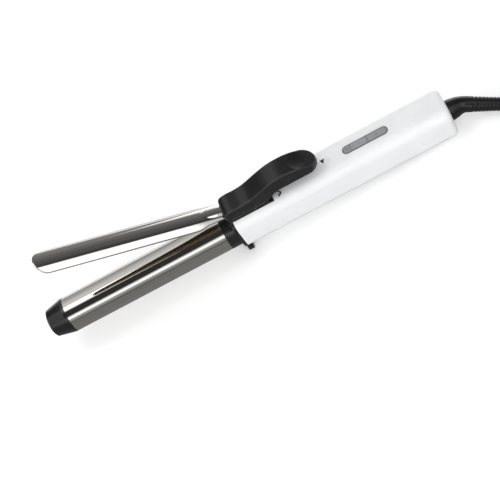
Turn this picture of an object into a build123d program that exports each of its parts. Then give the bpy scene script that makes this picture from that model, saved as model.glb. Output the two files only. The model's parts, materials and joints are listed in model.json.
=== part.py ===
from build123d import *
import math
import os

# Curling iron with a spring clamp and thumb lever, in millimetres.
# The iron is drawn along its own barrel axis: x = 0 at the collar's front face, the tip
# towards -X, the cord towards +X, the clamp above. It is then tipped onto its stand foot
# and the rear edge of its handle, with the middle of the foot's sole at the origin.

# longer than any wall, for cuts that run right through
cut_reach = 60.0

# barrel and cool tip
barrel_d = 25.0
barrel_wall = 0.8
barrel_length = 120.0
tip_length = 15.5
tip_end_d = 19.0
tip_edge_r = 1.5
tip_straight = 2.0
tip_plug_length = 12.0
tip_plug_bore = 6.0
tip_plug_hollow = 4.4

# collar and stand foot
collar_length = 10.0
flange_t = 2.2
foot_drop = 22.0
foot_width = 18.0
foot_corner_r = 4.5
foot_lip_t = 1.7
foot_lip_height = 6.0
foot_blend_r = 3.0
foot_trim = 0.5
holder_wall = 2.0
holder_bore = 5.0
holder_reach = 14.0
holder_tail = 16.0

# handle
handle_length = 158.0
handle_width = 27.0
handle_height = 29.0
handle_corner_r = 7.5
handle_rise = 2.7
handle_wall = 2.2
handle_end_r = 4.0
end_cap_length = 7.0
cap_spigot = 4.0

# clamp, lever and hinge; the clamp is drawn closed and then opened by this angle
open_angle = 21.2
clamp_gap = 0.3
clamp_t = 0.8
clamp_half_width = 9.35
clamp_tip_x = -121.8
clamp_shoulder_x = -9.0
neck_start_x = -2.5
neck_half_start = 7.4
neck_half_end = 6.0
neck_end_x = 28.5
neck_bead_t = 0.5
neck_bead_half = 4.2
hinge_x = 33.6
hinge_z = 15.0
neck_hole_depth = 5.2
pin_d = 3.0
pin_half = 6.1
ear_t = 1.5
ear_half = 3.2
boss_half = 4.2
boss_near = 0.1
lever_half_width = 8.25
lever_wall = 1.8
lever_front_x = 6.5
lever_tail_x = 78.3
lever_skirt_z = 18.3
lever_tail_z = 24.6
lever_edge_r = 1.5
lever_front_corner_r = 3.5
lever_top = [
    (13.5, 27.0), (19.0, 26.9), (26.0, 27.7), (34.0, 30.4), (42.0, 33.2), (50.0, 34.9),
    (57.0, 35.1), (63.0, 34.3), (69.0, 32.4), (74.0, 30.0),
]
lever_front_rise = 22.0
lever_belly_x = 33.0
lever_tail_flat_x = 48.0
lever_top_slopes = (0.05, -0.5)
thumb_dish_x = 66.0
thumb_dish_z = 33.4
thumb_dish_slope = 17.6
thumb_dish_r = 34.0
thumb_dish_depth = 0.8
well_clear = 0.3
well_floor_z = 7.4
well_end_x = 41.0
well_front_x = 5.4

# torsion spring
spring_wire = 0.9
spring_r = 2.75
spring_pitch = 1.3
spring_near_y = -4.05
spring_leg = 18.5
hook_x = 47.0

# groove and panel in the handle's top face; the panel stands off the handle's rear end, and
# the groove and the lamp window stand off the panel
groove_half = 3.2
groove_depth = 0.8
groove_off_panel = 8.8
panel_off_rear = 73.2
panel_length = 33.0
panel_width = 6.4
panel_rim = 0.55
panel_proud = 0.25
panel_flange = 1.0
key_gap = 0.25
key_proud = 0.1
key_travel = 0.5
key_flange_t = 0.8
key_split_1 = 5.8
key_split_2 = 18.0
lens_off_panel = 14.5
lens_y = 1.4
lens_size = 1.7

# inside the handle
fit = 0.05
slide_fit = 0.15
board_t = 1.6
board_top_z = 9.6
board_before_lens = 4.3
board_off_swivel = 5.0
board_half = 9.3
switch_height = 3.0
chassis_floor_t = 2.0
board_screw_y = -6.0
sink_y = 2.4
sink_t = 2.5
sink_start = 27.0
sink_length = 30.0
screw_d = 2.2
screw_head_d = 4.0
screw_head_t = 1.6

# heater inside the barrel
heater_length = 66.0
heater_width = 14.0
heater_t = 2.4
film_t = 0.15
spreader_gap = 0.1
spreader_wall = 1.0
spreader_web = 2.3
sensor_r = 1.6
sensor_z = 5.2

# swivel
swivel_r = 9.0
swivel_wall = 1.6
swivel_length = 20.0
spindle_r = 3.0
ring_r = 4.6
ring_width = 1.6
neck_r = 5.9
flange_width = 4.0
running_fit = 0.08
exit_gap = 0.3

# strain relief, cord and plug
relief_root_d = 14.5
relief_mid_d = 10.6
relief_end_d = 8.4
relief_straight = 8.9
relief_bend_r = 15.0
relief_rib_pitch = 2.4
relief_rib_gap = 1.0
relief_rib_depth = 0.6
cord_d = 6.0
lead_route = [
    (197.9, -16.0, 6.8), (209.06, -22.12, 4.2), (224.0, -28.6, 3.05), (239.0, -28.6, 3.05),
]
cord_end_straight = 6.0

# the tied hank that the rest of the cord is folded into; an eighth is one of the eight
# stretches of a loop, and the last few, given as half width and height, lie over the tie
hank_run = 50.0
hank_inner_r = 18.0
hank_pitch = 6.7
hank_layer_step = 6.5
hank_climbs = (13, 25, 37)
hank_end = {47: (26.4, 24.0), 48: (26.0, 26.8), 49: (22.0, 31.7), 50: (22.0, 32.4),
            51: (20.0, 33.0), 52: (18.0, 34.1)}
waist_draw = 3.5
waist_lift = 1.2
tie_width = 9.0
tie_t = 1.0
tie_side_fit = 0.5
tie_fit = 0.2
tie_corner_r = 3.4
plug_width = 22.0
plug_thickness = 12.0
plug_length = 30.0
plug_neck = 10.0
blade_length = 16.0
blade_width = 6.3
blade_t = 1.5
blade_spacing = 12.7

# places worked out from the sizes above
barrel_r = barrel_d / 2
cord_r = cord_d / 2
bore_r = barrel_r - barrel_wall
handle_x0 = collar_length
handle_x1 = handle_x0 + handle_length
cap_x0 = handle_x1 - end_cap_length
swivel_x0 = cap_x0 - swivel_length
panel_x0 = handle_x1 - panel_off_rear
groove_end_x = panel_x0 - groove_off_panel
lens_x = panel_x0 - lens_off_panel
board_x0 = lens_x - board_before_lens
board_x1 = swivel_x0 - board_off_swivel
hank_outer_r = hank_inner_r + hank_pitch * (hank_climbs[1] - hank_climbs[0]) / 8
handle_top = handle_rise + handle_height / 2
handle_bottom = handle_rise - handle_height / 2
well_half = lever_half_width + well_clear
floor_z = handle_bottom + handle_wall
clamp_in = barrel_r + clamp_gap
clamp_out = clamp_in + clamp_t
foot_x = collar_length - flange_t / 2 + foot_lip_t / 2
inner_top = handle_top - handle_wall
board_bottom_z = board_top_z - board_t
exit_x = handle_x1 + exit_gap


def stand_tilt():
    """Angle that brings the foot's sole and the handle's rounded rear edge onto one plane."""
    dx = handle_x1 - handle_end_r - foot_x
    dz = handle_bottom + handle_end_r + foot_drop
    return math.acos(handle_end_r / math.hypot(dx, dz)) - math.atan2(dx, dz)


tilt = math.degrees(stand_tilt())
stand = Rot(0, tilt, 0) * Pos(-foot_x, 0, foot_drop)
opened = Pos(hinge_x, 0, hinge_z) * Rot(0, open_angle, 0) * Pos(-hinge_x, 0, -hinge_z)


def block(x0, x1, y0, y1, z0, z1):
    size = (x1 - x0, y1 - y0, z1 - z0)
    return Pos(x0, y0, z0) * Box(*size, align=(Align.MIN, Align.MIN, Align.MIN))


def rod_x(r, x0, x1, y=0.0, z=0.0):
    bar = Cylinder(r, x1 - x0, align=(Align.CENTER, Align.CENTER, Align.MIN))
    return Pos(x0, y, z) * Rot(0, 90, 0) * bar


def rod_y(r, y0, y1, x, z):
    bar = Cylinder(r, y1 - y0, align=(Align.CENTER, Align.CENTER, Align.MIN))
    return Pos(x, y0, z) * Rot(-90, 0, 0) * bar


def rod_z(r, z0, z1, x, y):
    bar = Cylinder(r, z1 - z0, align=(Align.CENTER, Align.CENTER, Align.MIN))
    return Pos(x, y, z0) * bar


def tube_x(r_out, r_in, x0, x1, z=0.0):
    return rod_x(r_out, x0, x1, 0, z) - rod_x(r_in, x0 - 1, x1 + 1, 0, z)


def across(x):
    """The plane square to the barrel at x, with its own x along +Y and its own y along +Z."""
    return Plane(origin=(x, 0, 0), x_dir=(0, 1, 0), z_dir=(1, 0, 0))


def handle_prism(x0, x1, inset=0.0):
    """The handle's rounded section, taken in by inset, from x0 to x1."""
    section = RectangleRounded(
        handle_width - 2 * inset, handle_height - 2 * inset, handle_corner_r - inset
    )
    return extrude(across(x0) * Pos(0, handle_rise) * section, amount=x1 - x0)


def pill(length, width, x0, z0, z1):
    shape = Pos(x0 + length / 2, 0, z0) * SlotOverall(length, width)
    return extrude(shape, amount=z1 - z0)


def screw(x, y, z, length, up=True):
    """A pan-head screw: its head's bearing face at z, its shank rising or falling from there."""
    way = 1 if up else -1
    shank = rod_z(screw_d / 2, min(z, z + way * length), max(z, z + way * length), x, y)
    head_end = z - way * screw_head_t
    head = rod_z(screw_head_d / 2, min(z, head_end), max(z, head_end), x, y)
    slot = block(x - 0.3, x + 0.3, y - 1.4, y + 1.4, min(head_end, head_end + way * 0.6),
                 max(head_end, head_end + way * 0.6))
    return head + shank - slot


def barrel_tube():
    return tube_x(barrel_r, bore_r, -barrel_length, 0)


def cool_tip():
    """A hollow cap: a short straight band, a taper and a slightly domed end."""
    end_x = -barrel_length - tip_length
    end_r = tip_end_d / 2
    outline = Polyline(
        (-barrel_length, 0),
        (-barrel_length, barrel_r),
        (-barrel_length - tip_straight, barrel_r),
        (end_x + tip_edge_r, end_r + 0.3),
        (end_x + 0.4, end_r - tip_edge_r),
        (end_x, 0),
        (-barrel_length, 0),
    )
    solid = revolve(make_face(Plane.XZ * outline), axis=Axis.X)
    cavity = rod_x(tip_plug_bore, end_x + 4, -barrel_length + 0.01)
    return solid - cavity


def tip_plug():
    """The heat-proof insert that closes the barrel and carries the cool tip on its nose."""
    back = -barrel_length + tip_plug_length
    body = rod_x(bore_r - fit, -barrel_length, back)
    nose = rod_x(tip_plug_bore - fit, -barrel_length - tip_length + 5, -barrel_length)
    return body + nose - rod_x(tip_plug_hollow, -barrel_length - 8, back + 1)


def heater_x():
    middle = -barrel_length / 2
    return middle - heater_length / 2, middle + heater_length / 2


def heat_spreader(up):
    """One half-round aluminium extrusion that carries the heat to the barrel's wall."""
    x0, x1 = heater_x()
    level = heater_t / 2 + film_t
    r = bore_r - spreader_gap
    wall = spreader_wall
    bar = rod_x(r, x0, x1) & block(x0, x1, -r, r, level, r)
    hollow = rod_x(r - wall, x0 - 1, x1 + 1)
    hollow &= block(x0 - 1, x1 + 1, -r, r, level + wall, r)
    hollow -= block(x0 - 1, x1 + 1, -spreader_web, spreader_web, 0, r)
    bar -= hollow
    bar -= rod_x(sensor_r + spreader_gap, x0 - 1, x1 + 1, 0, sensor_z)
    return bar if up else bar.mirror(Plane.XY)


def ptc_heater():
    x0, x1 = heater_x()
    w, h = heater_width / 2, heater_t / 2
    return block(x0 + 4, x1 - 4, -w, w, -h, h)


def heater_film():
    x0, x1 = heater_x()
    w, h = heater_width / 2, heater_t / 2
    outer = block(x0 + 1, x1 - 1, -w - film_t, w + film_t, -h - film_t, h + film_t)
    return outer - block(x0, x1, -w, w, -h, h)


def heater_leads():
    """Two insulated leads from the heater film's end, through the holder, to the board."""
    x0, x1 = heater_x()
    leads = []
    for side in (-1, 1):
        start = (x1 - 1, side * 2.2, 0)
        path = Polyline(start, (handle_x0 + holder_tail + 4, side * 2.2, 0),
                        (board_x0 - 6, side * 2.2, board_bottom_z - 1.2),
                        (board_x0 + 4, side * 2.2, board_bottom_z - 1.2))
        ring = Plane(origin=start, z_dir=(1, 0, 0)) * Circle(0.9)
        leads.append(sweep(ring, path=path, transition=Transition.ROUND))
    return together(leads)


def temperature_sensor():
    """A glass bead in the upper spreader's groove, with its two fine leads."""
    x0, x1 = heater_x()
    bead = rod_x(sensor_r, x1 - 22, x1 - 14, 0, sensor_z)
    leads = [rod_x(0.4, x1 - 14, x1 + 6, side * 0.8, sensor_z) for side in (-1, 1)]
    return bead + leads[0] + leads[1]


def together(shapes):
    """Separate solids of one sub-part, kept apart in one shape."""
    return Compound([solid for shape in shapes for solid in shape.solids()])


def lever_notch(grow=0.0):
    """The space that the lever's front dips into when the clamp is closed."""
    half = well_half + grow
    return block(well_front_x - grow, handle_x0 + 1, -half, half, well_floor_z - grow, cut_reach)


def barrel_holder():
    """The stepped heat-proof sleeve that carries the barrel and passes into the handle."""
    outer = rod_x(bore_r - fit, -holder_reach, 0) + rod_x(barrel_r - holder_wall, 0, collar_length)
    tail_r = well_floor_z - 0.4
    outer += rod_x(tail_r, collar_length, collar_length + holder_tail)
    sleeve = outer - rod_x(holder_bore, -holder_reach - 1, collar_length + holder_tail + 1)
    return sleeve - lever_notch(slide_fit)


def foot_outline():
    """The foot's plate as seen along the barrel: straight sides and two round corners."""
    height = handle_rise + foot_drop + foot_trim
    plate = RectangleRounded(foot_width, height * 2, foot_corner_r)
    keep = Pos(0, -height / 2) * Rectangle(foot_width, height)
    return Pos(0, handle_rise) * (plate & keep)


def foot_blend(flange_x):
    """The hollow sweep from the underside of the ring into the foot's front face."""
    r = foot_blend_r
    low, high = barrel_r - 1, barrel_r + r
    back = flange_x + flange_t / 2
    strip = Polyline((flange_x - r, low), (back, low), (back, high), (flange_x - r, high),
                     close=True)
    face = make_face(Plane.XZ * strip) - Plane.XZ * Pos(flange_x - r, high) * Circle(r)
    sweep_round = revolve(face, axis=Axis.X)
    half = foot_width / 2 - foot_corner_r
    return sweep_round & block(0, collar_length, -half, half, -high - 1, 0)


def stand_collar():
    """The collar ring, the flange against the handle's front and the foot that hangs from it."""
    flange_x = collar_length - flange_t
    ring = rod_x(barrel_r, 0, collar_length)
    flange = handle_prism(flange_x, collar_length)
    foot = extrude(across(flange_x) * foot_outline(), amount=flange_t)
    lip_x = collar_length + foot_lip_t
    lip = extrude(across(collar_length) * foot_outline(), amount=foot_lip_t)
    lip &= block(0, lip_x, -foot_width, foot_width, -2 * foot_drop, -foot_drop + foot_lip_height)
    body = ring + flange + foot + lip + foot_blend(flange_x)
    body -= rod_x(barrel_r - holder_wall + fit, -1, collar_length + 3)
    table = stand.inverse() * block(-cut_reach, cut_reach, -foot_width, foot_width, -cut_reach, 0)
    return body - lever_notch() - table


def collar_screws():
    """Two screws through the flange of the collar into the handle's inner frame."""
    parts = []
    for side in (-1, 1):
        y, z = side * 6.0, handle_bottom + 5.0
        shank = rod_x(screw_d / 2, collar_length + 0.2, collar_length + 12, y, z)
        head = rod_x(screw_head_d / 2, collar_length + 12, collar_length + 13.6, y, z)
        parts.append(shank + head)
    return together(parts)


def lens_prism(z0, z1, grow=0.0):
    """The small three-cornered lamp window, one corner towards the near side."""
    s = lens_size + grow
    corners = [(lens_x - s, lens_y + s), (lens_x + s, lens_y + s), (lens_x, lens_y - s)]
    return extrude(Pos(0, 0, z0) * make_face(Polyline(*corners, close=True)), amount=z1 - z0)


def handle_sleeve():
    """The white moulded tube, open at both ends, with the lever's slot and the panel's hole."""
    body = handle_prism(handle_x0, cap_x0) - handle_prism(handle_x0 - 1, cap_x0 + 1, handle_wall)
    body -= block(handle_x0 - 1, well_end_x, -well_half, well_half, well_floor_z, cut_reach)
    groove = block(well_end_x - 1, groove_end_x - groove_half, -groove_half, groove_half,
                   handle_top - groove_depth, cut_reach)
    groove += rod_z(groove_half, handle_top - groove_depth, cut_reach, groove_end_x - groove_half, 0)
    body -= groove
    body -= pill(panel_length + 2 * fit, panel_width + 2 * fit, panel_x0 - fit, inner_top - 5, cut_reach)
    body -= lens_prism(inner_top - 1, cut_reach, fit)
    return body


def end_cap():
    """The rear cap: rounded rear edge, a spigot inside the sleeve and the swivel's hole."""
    cap = handle_prism(cap_x0, handle_x1)
    rim = cap.faces().sort_by(Axis.X)[-1].edges()
    cap = fillet(rim, handle_end_r)
    spigot = handle_prism(cap_x0 - cap_spigot, cap_x0, handle_wall + slide_fit)
    spigot -= handle_prism(cap_x0 - cap_spigot - 1, cap_x0, handle_wall + 1.6)
    hole = rod_x(neck_r + 0.08, swivel_x0, handle_x1 + 1, 0, handle_rise)
    return cap + spigot - hole


def chassis():
    """The inner frame: front block with the hinge ears, floor, board posts and swivel cradle."""
    inset = handle_wall + slide_fit
    front_x = handle_x0 + 0.1
    rear_x = cap_x0 - cap_spigot - 0.5
    full = handle_prism(front_x, rear_x, inset)
    front = block(front_x, well_end_x - 0.5, -cut_reach, cut_reach, -cut_reach, well_floor_z - 0.1)
    for side in (-1, 1):
        near, far = sorted((side * (well_half + 0.1), side * cut_reach))
        front += block(front_x, well_end_x - 0.5, near, far, 0, cut_reach)
    front += block(well_end_x + 0.3, well_end_x + 2.5, -cut_reach, cut_reach, -cut_reach, 8)
    front += block(well_end_x - 1, well_end_x + 0.5, -cut_reach, cut_reach, -cut_reach, well_floor_z - 0.1)
    tray = block(front_x, rear_x, -cut_reach, cut_reach, -cut_reach, floor_z + chassis_floor_t)
    body = full & (front + tray)
    for x in (board_x0 + 4, board_x1 - 4):
        y = board_screw_y
        body += block(x - 3, x + 3, y - 2.6, y + 2.6, floor_z + 1, board_bottom_z)
        body -= rod_z(screw_d / 2, 0, board_bottom_z + 1, x, y)
    bore = holder_seat()
    body -= bore
    for side in (-1, 1):
        y, z = side * 6.0, handle_bottom + 5.0
        body -= rod_x(screw_d / 2 + fit, handle_x0 - 1, handle_x0 + 12, y, z)
        body -= rod_x(screw_head_d / 2 + 0.2, handle_x0 + 12, handle_x0 + 40, y, z)
    cradle = block(swivel_x0 + 2, swivel_x0 + 12, -8, 8, floor_z + 1, handle_rise)
    cradle -= rod_x(swivel_r + fit, swivel_x0, cap_x0, 0, handle_rise)
    return body + (cradle & full) + hinge_ears()


def holder_seat():
    """The bore that the barrel holder's tail slides into, and the passage for the wires."""
    tail_r = well_floor_z - 0.4
    seat = rod_x(tail_r + fit, handle_x0 - 1, handle_x0 + holder_tail, 0, 0)
    return seat + rod_x(holder_bore, handle_x0, well_end_x + 4, 0, 0)


def hinge_ears():
    """Two ears that stand in the well and carry the hinge pin."""
    ears = []
    for side in (-1, 1):
        near, far = sorted((side * (pin_half - ear_t), side * pin_half))
        ear = block(hinge_x - ear_half, hinge_x + ear_half, near, far, 0, hinge_z)
        ear += rod_y(ear_half, near, far, hinge_x, hinge_z)
        ears.append(ear - rod_y(pin_d / 2 + fit, near - 1, far + 1, hinge_x, hinge_z))
    low = rod_x(holder_bore, handle_x0, well_end_x + 4, 0, 0)
    return ears[0] + ears[1] - low


def hinge_pin():
    return rod_y(pin_d / 2, -pin_half, pin_half, hinge_x, hinge_z)


def torsion_spring():
    """A leg hooked on the handle's top, the coil round the pin, and a leg under the lever."""
    steps = 16
    step_angle = math.radians(60)
    rise = spring_pitch / 6
    stations = []
    for k in range(steps + 1):
        turn = math.pi / 2 + step_angle * k
        place = Vector(hinge_x + spring_r * math.cos(turn), spring_near_y + rise * k,
                       hinge_z + spring_r * math.sin(turn))
        along = spring_r * step_angle
        way = Vector(-math.sin(turn) * along, rise, math.cos(turn) * along)
        stations.append((place, way.normalized()))
    start, way = stations[0]
    leg = FilletPolyline(
        (hook_x - 2.1, spring_near_y - 3.7, start.Z), (hook_x + 0.4, spring_near_y - 1.6, start.Z),
        (hook_x - 2.0, spring_near_y + 1.1, start.Z), (hook_x - 6.0, spring_near_y, start.Z),
        start, radius=[0.9, 1.2, 3.0])
    edges = list(leg.edges())
    for (p0, t0), (p1, t1) in zip(stations, stations[1:]):
        edges += biarc(p0, t0, p1, t1)
    end, way = stations[-1]
    edges.append(Line(end, end + way * spring_leg).edge())
    path = Wire(edges)
    return sweep(square_to(path, 0) * Circle(spring_wire / 2), path=path)


def biarc(p0, t0, p1, t1):
    """Two arcs that leave p0 along t0 and reach p1 along t1."""
    v = p1 - p0
    along = v.dot(t0 + t1)
    bend = 2 * (1 - t0.dot(t1))
    if bend < 1e-9:
        reach = v.dot(v) / (2 * along)
    else:
        reach = (-along + math.sqrt(along * along + bend * v.dot(v))) / bend
    middle = (p0 + t0 * reach + p1 - t1 * reach) * 0.5
    first = TangentArc(p0, middle, tangent=t0)
    second = TangentArc(middle, p1, tangent=first % 1)
    return [first.edge(), second.edge()]


def clamp_plate():
    """A strip of barrel-shaped sheet: round tip, long blade, shoulders and a narrow neck."""
    sheet = tube_x(clamp_out, clamp_in, clamp_tip_x - 1, neck_end_x)
    w, ws, we = clamp_half_width, neck_half_start, neck_half_end
    tip = clamp_tip_x
    outline = [
        Line((tip + w, w), (clamp_shoulder_x - 3, w)),
        Spline((clamp_shoulder_x - 3, w), (neck_start_x, ws), tangents=[(1, 0), (1, -0.15)]),
        Line((neck_start_x, ws), (lever_front_x + 2, we)),
        Line((lever_front_x + 2, we), (neck_end_x, we)),
        Line((neck_end_x, we), (neck_end_x, -we)),
        Line((neck_end_x, -we), (lever_front_x + 2, -we)),
        Line((lever_front_x + 2, -we), (neck_start_x, -ws)),
        Spline((clamp_shoulder_x - 3, -w), (neck_start_x, -ws), tangents=[(1, 0), (1, 0.15)]),
        Line((clamp_shoulder_x - 3, -w), (tip + w, -w)),
        ThreePointArc((tip + w, -w), (tip, 0), (tip + w, w)),
    ]
    plan = make_face(outline)
    blade = sheet & extrude(plan, amount=40)
    bead_length = neck_screws_x()[0] - 3.0 - clamp_shoulder_x
    bead = Pos(clamp_shoulder_x + bead_length / 2, 0) * SlotOverall(bead_length, 2 * neck_bead_half)
    blade += tube_x(clamp_out + neck_bead_t, clamp_out - 0.2, clamp_shoulder_x - 1, neck_end_x) \
        & extrude(bead, amount=40)
    for x in neck_screws_x():
        blade -= rod_z(screw_d / 2 + 0.1, 0, cut_reach, x, 0)
    return opened * blade


def neck_screws_x():
    return (neck_end_x - 12.0, neck_end_x - 5.0)


def lever_profile():
    """The lever's side view, open: a low skirt in front, an S rise and a thin tail."""
    x0, x1 = lever_front_x, lever_tail_x
    skirt, tail = lever_skirt_z, lever_tail_z
    rise, fall = lever_top_slopes
    last_x, last_z = lever_top[-1]
    corner = (x1, last_z + fall * (x1 - last_x))
    chin = lever_front_corner_r
    edges = [
        Spline(*lever_top, tangents=[(1, rise), (1, fall)]),
        Line(lever_top[-1], corner),
        Line(corner, (x1, tail)),
        Line((x1, tail), (lever_tail_flat_x, tail)),
        Spline((lever_tail_flat_x, tail), (lever_belly_x, skirt), tangents=[(-1, 0), (-1, 0)]),
        Line((lever_belly_x, skirt), (x0 + chin, skirt)),
        TangentArc((x0 + chin, skirt), (x0, skirt + chin), tangent=(-1, 0)),
        Line((x0, skirt + chin), (x0, lever_front_rise)),
        Spline((x0, lever_front_rise), lever_top[0], tangents=[(0, 1), (1, rise)]),
    ]
    return make_face(edges)


def lever_plan(inset=0.0):
    """The lever from above: small front corners and a half-round tail."""
    w = lever_half_width - inset
    x0 = lever_front_x + inset
    r = max(lever_front_corner_r - inset, 0.5)
    tail = lever_tail_x - lever_half_width
    front = RectangleRounded(2 * (tail - x0), 2 * w, r)
    front = Pos(tail, 0) * front & Pos((x0 + tail) / 2, 0) * Rectangle(tail - x0, 2 * w)
    return front + Pos(tail, 0) * Circle(w)


def side_view(face, half):
    """Stands a drawing of x and z upright and gives it the width 2 * half across Y."""
    return extrude(Plane(origin=(0, half, 0), x_dir=(1, 0, 0), z_dir=(0, -1, 0)) * face,
                   amount=2 * half)


def lever_space(inset):
    """The lever's outline drawn in by inset at the sides and the top, open below."""
    body = side_view(Pos(0, -inset) * lever_profile(), lever_half_width - inset)
    return body & extrude(lever_plan(inset), amount=cut_reach)


def thumb_lever():
    """The black moulded lever: a shell open below, with a shallow dish for the thumb."""
    body = lever_space(0.0)
    rim = body.faces().sort_by(Axis.Z)[-1].edges()
    body = fillet(rim, lever_edge_r)
    body -= lever_space(lever_wall)
    slope = math.radians(thumb_dish_slope)
    stand_off = thumb_dish_r - thumb_dish_depth
    body -= Pos(thumb_dish_x + stand_off * math.sin(slope), 0,
                thumb_dish_z + stand_off * math.cos(slope)) * Sphere(thumb_dish_r)
    half = neck_half_end + 0.8
    neck = opened * block(0, neck_end_x, -half, half, 5, clamp_out + neck_bead_t + 0.3)
    mouth = block(0, lever_front_x + lever_wall + 2, -cut_reach, cut_reach, 0, cut_reach)
    return body - (neck & mouth)


def lever_block():
    """The boss on the pin and the pad that the clamp's neck is screwed to."""
    y0, y1 = boss_near, boss_half
    x0, x1 = neck_screws_x()[0] - 2.5, neck_end_x + 1
    room = lever_space(lever_wall + fit)
    pad = opened * block(x0, x1, -3.0, y1, clamp_out + fit, cut_reach) & room
    boss = rod_y(ear_half - 0.2, y0, y1, hinge_x, hinge_z)
    web = opened * block(neck_end_x - 3, hinge_x + 2, y0, y1, hinge_z + 1.0, cut_reach) & room
    body = pad + boss + web
    body -= rod_y(pin_d / 2 + fit, y0 - 1, y1 + 1, hinge_x, hinge_z)
    for x in neck_screws_x():
        body -= opened * rod_z(screw_d / 2, clamp_in, clamp_in + neck_hole_depth, x, 0)
    return body


def lever_screws():
    parts = [opened * screw(x, 0, clamp_in - 0.2, 4.8) for x in neck_screws_x()]
    return together(parts)


def panel_frame():
    """The grey rim round the keys, with a flange under the handle's top wall."""
    rim = pill(panel_length, panel_width, panel_x0, inner_top - 0.8, handle_top + panel_proud)
    flange = pill(panel_length + 2 * panel_flange, panel_width + 2 * panel_flange,
                  panel_x0 - panel_flange, inner_top - 0.8, inner_top)
    inner = pill(panel_length - 2 * panel_rim, panel_width - 2 * panel_rim,
                 panel_x0 + panel_rim, inner_top - 5, cut_reach)
    return rim + flange - inner


def key(x0, x1):
    """One key: its share of the pill, a wider flange under the rim, and a stem to its switch."""
    c = key_gap / 2
    cell = block(x0 + c, x1 - c, -10, 10, 0, cut_reach)
    inset = panel_rim + slide_fit
    cap = pill(panel_length - 2 * inset, panel_width - 2 * inset, panel_x0 + inset,
               inner_top - 0.9, handle_top + panel_proud + key_proud)
    under = inner_top - 0.9
    flange = pill(panel_length, panel_width, panel_x0, under - key_flange_t, under)
    stem = rod_z(1.6, board_top_z + switch_height + key_travel + 0.1, under,
                 switch_x(x0, x1), 0)
    return ((cap + flange) & cell) + stem


def switch_x(x0, x1):
    return (x0 + x1) / 2


def key_cells():
    start = panel_x0
    return [(start, start + key_split_1), (start + key_split_1, start + key_split_2),
            (start + key_split_2, start + panel_length)]


def tact_switches():
    parts = []
    for x0, x1 in key_cells():
        x = switch_x(x0, x1)
        body = block(x - 2.2, x + 2.2, -3, 3, board_top_z, board_top_z + 2.0)
        parts.append(body + rod_z(1.3, board_top_z + 2.0, board_top_z + switch_height, x, 0))
    return together(parts)


def control_board():
    board = block(board_x0, board_x1, -board_half, board_half, board_bottom_z, board_top_z)
    for x in (board_x0 + 4, board_x1 - 4):
        board -= rod_z(screw_d / 2 + fit, 0, cut_reach, x, board_screw_y)
    return board


def board_screws():
    xs = (board_x0 + 4, board_x1 - 4)
    return together([screw(x, board_screw_y, board_top_z, 7.0, up=False) for x in xs])


def power_triac():
    """A flat three-legged power switch under the board, against its heat sink."""
    x = board_x0 + 42
    near, far = sink_y - 4.2, sink_y - 0.05
    body = block(x - 5, x + 5, near, far, board_bottom_z - 12, board_bottom_z - 3)
    for step in (-2.5, 0, 2.5):
        body += block(x + step - 0.5, x + step + 0.5, near + 1.8, near + 2.6,
                      board_bottom_z - 3.5, board_bottom_z)
    return body


def heat_sink():
    """An aluminium angle under the board: a flange along the board and a hanging fin."""
    x0 = board_x0 + sink_start
    x1 = x0 + sink_length
    t = sink_t
    fin = block(x0, x1, sink_y, sink_y + t, board_bottom_z - 13, board_bottom_z)
    return fin + block(x0, x1, sink_y, board_half, board_bottom_z - t, board_bottom_z)


def film_capacitor():
    x = board_x0 + 36
    return block(x - 6, x + 6, -8.8, -4.0, board_bottom_z - 8, board_bottom_z)


def thermal_fuse():
    """A small axial fuse clipped under the board."""
    x = board_x0 + 20
    body = rod_x(2.0, x - 5, x + 5, 6.0, board_bottom_z - 2.0)
    return body + block(x - 4, x + 4, 5.6, 6.4, board_bottom_z - 1.0, board_bottom_z)


def status_led():
    base = rod_z(1.5, board_top_z, board_top_z + 2.4, lens_x, lens_y)
    return base + Pos(lens_x, lens_y, board_top_z + 2.4) * Sphere(1.4)


def status_lens():
    """The lamp window: a light pipe from just over the lamp up to the groove's floor."""
    top = handle_top - groove_depth
    foot = lens_prism(inner_top - 1.2, inner_top - 0.05, 1.2)
    return lens_prism(inner_top - 1.2, top, 0.0) + foot


def swivel_housing():
    """The fixed drum behind the board that the cord's rotor turns in."""
    r_in = swivel_r - swivel_wall
    drum = tube_x(swivel_r, r_in, swivel_x0, cap_x0 - fit, handle_rise)
    wall = tube_x(swivel_r, spindle_r + running_fit, swivel_x0, swivel_x0 + 1.5, handle_rise)
    return drum + wall


def ring_stations():
    return (swivel_x0 + 4.0, swivel_x0 + 8.0)


def contact_brushes():
    """Two sprung contact blocks that ride on the rotor's rings."""
    r_in = swivel_r - swivel_wall
    parts = []
    for x in ring_stations():
        piece = block(x, x + ring_width, -1.5, 1.5, handle_rise, handle_rise + r_in)
        piece &= rod_x(r_in - 0.02, x, x + ring_width, 0, handle_rise)
        parts.append(piece - rod_x(ring_r + fit, x - 1, x + 3, 0, handle_rise))
    return together(parts)


def swivel_rotor():
    """Spindle, thrust flange and the neck that passes out through the end cap."""
    flange_x = cap_x0 - 0.2 - flange_width
    r_in = swivel_r - swivel_wall
    body = rod_x(spindle_r, swivel_x0 - 2, flange_x, 0, handle_rise)
    body += rod_x(r_in - running_fit, flange_x, flange_x + flange_width, 0, handle_rise)
    return body + rod_x(neck_r, flange_x + flange_width, exit_x, 0, handle_rise)


def contact_rings():
    parts = [tube_x(ring_r, spindle_r, x, x + ring_width, handle_rise) for x in ring_stations()]
    return together(parts)


def exit_point():
    """Where the strain relief meets the rotor's neck, and the way that it points."""
    start = (stand * Pos(exit_x, 0, handle_rise)).position
    ahead = (stand * Pos(exit_x + 1, 0, handle_rise)).position
    return start, ahead - start


def square_to(path, s):
    """The plane square to a path at the length s along it."""
    share = s / path.length
    return Plane(origin=path @ share, z_dir=path % share)


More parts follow.
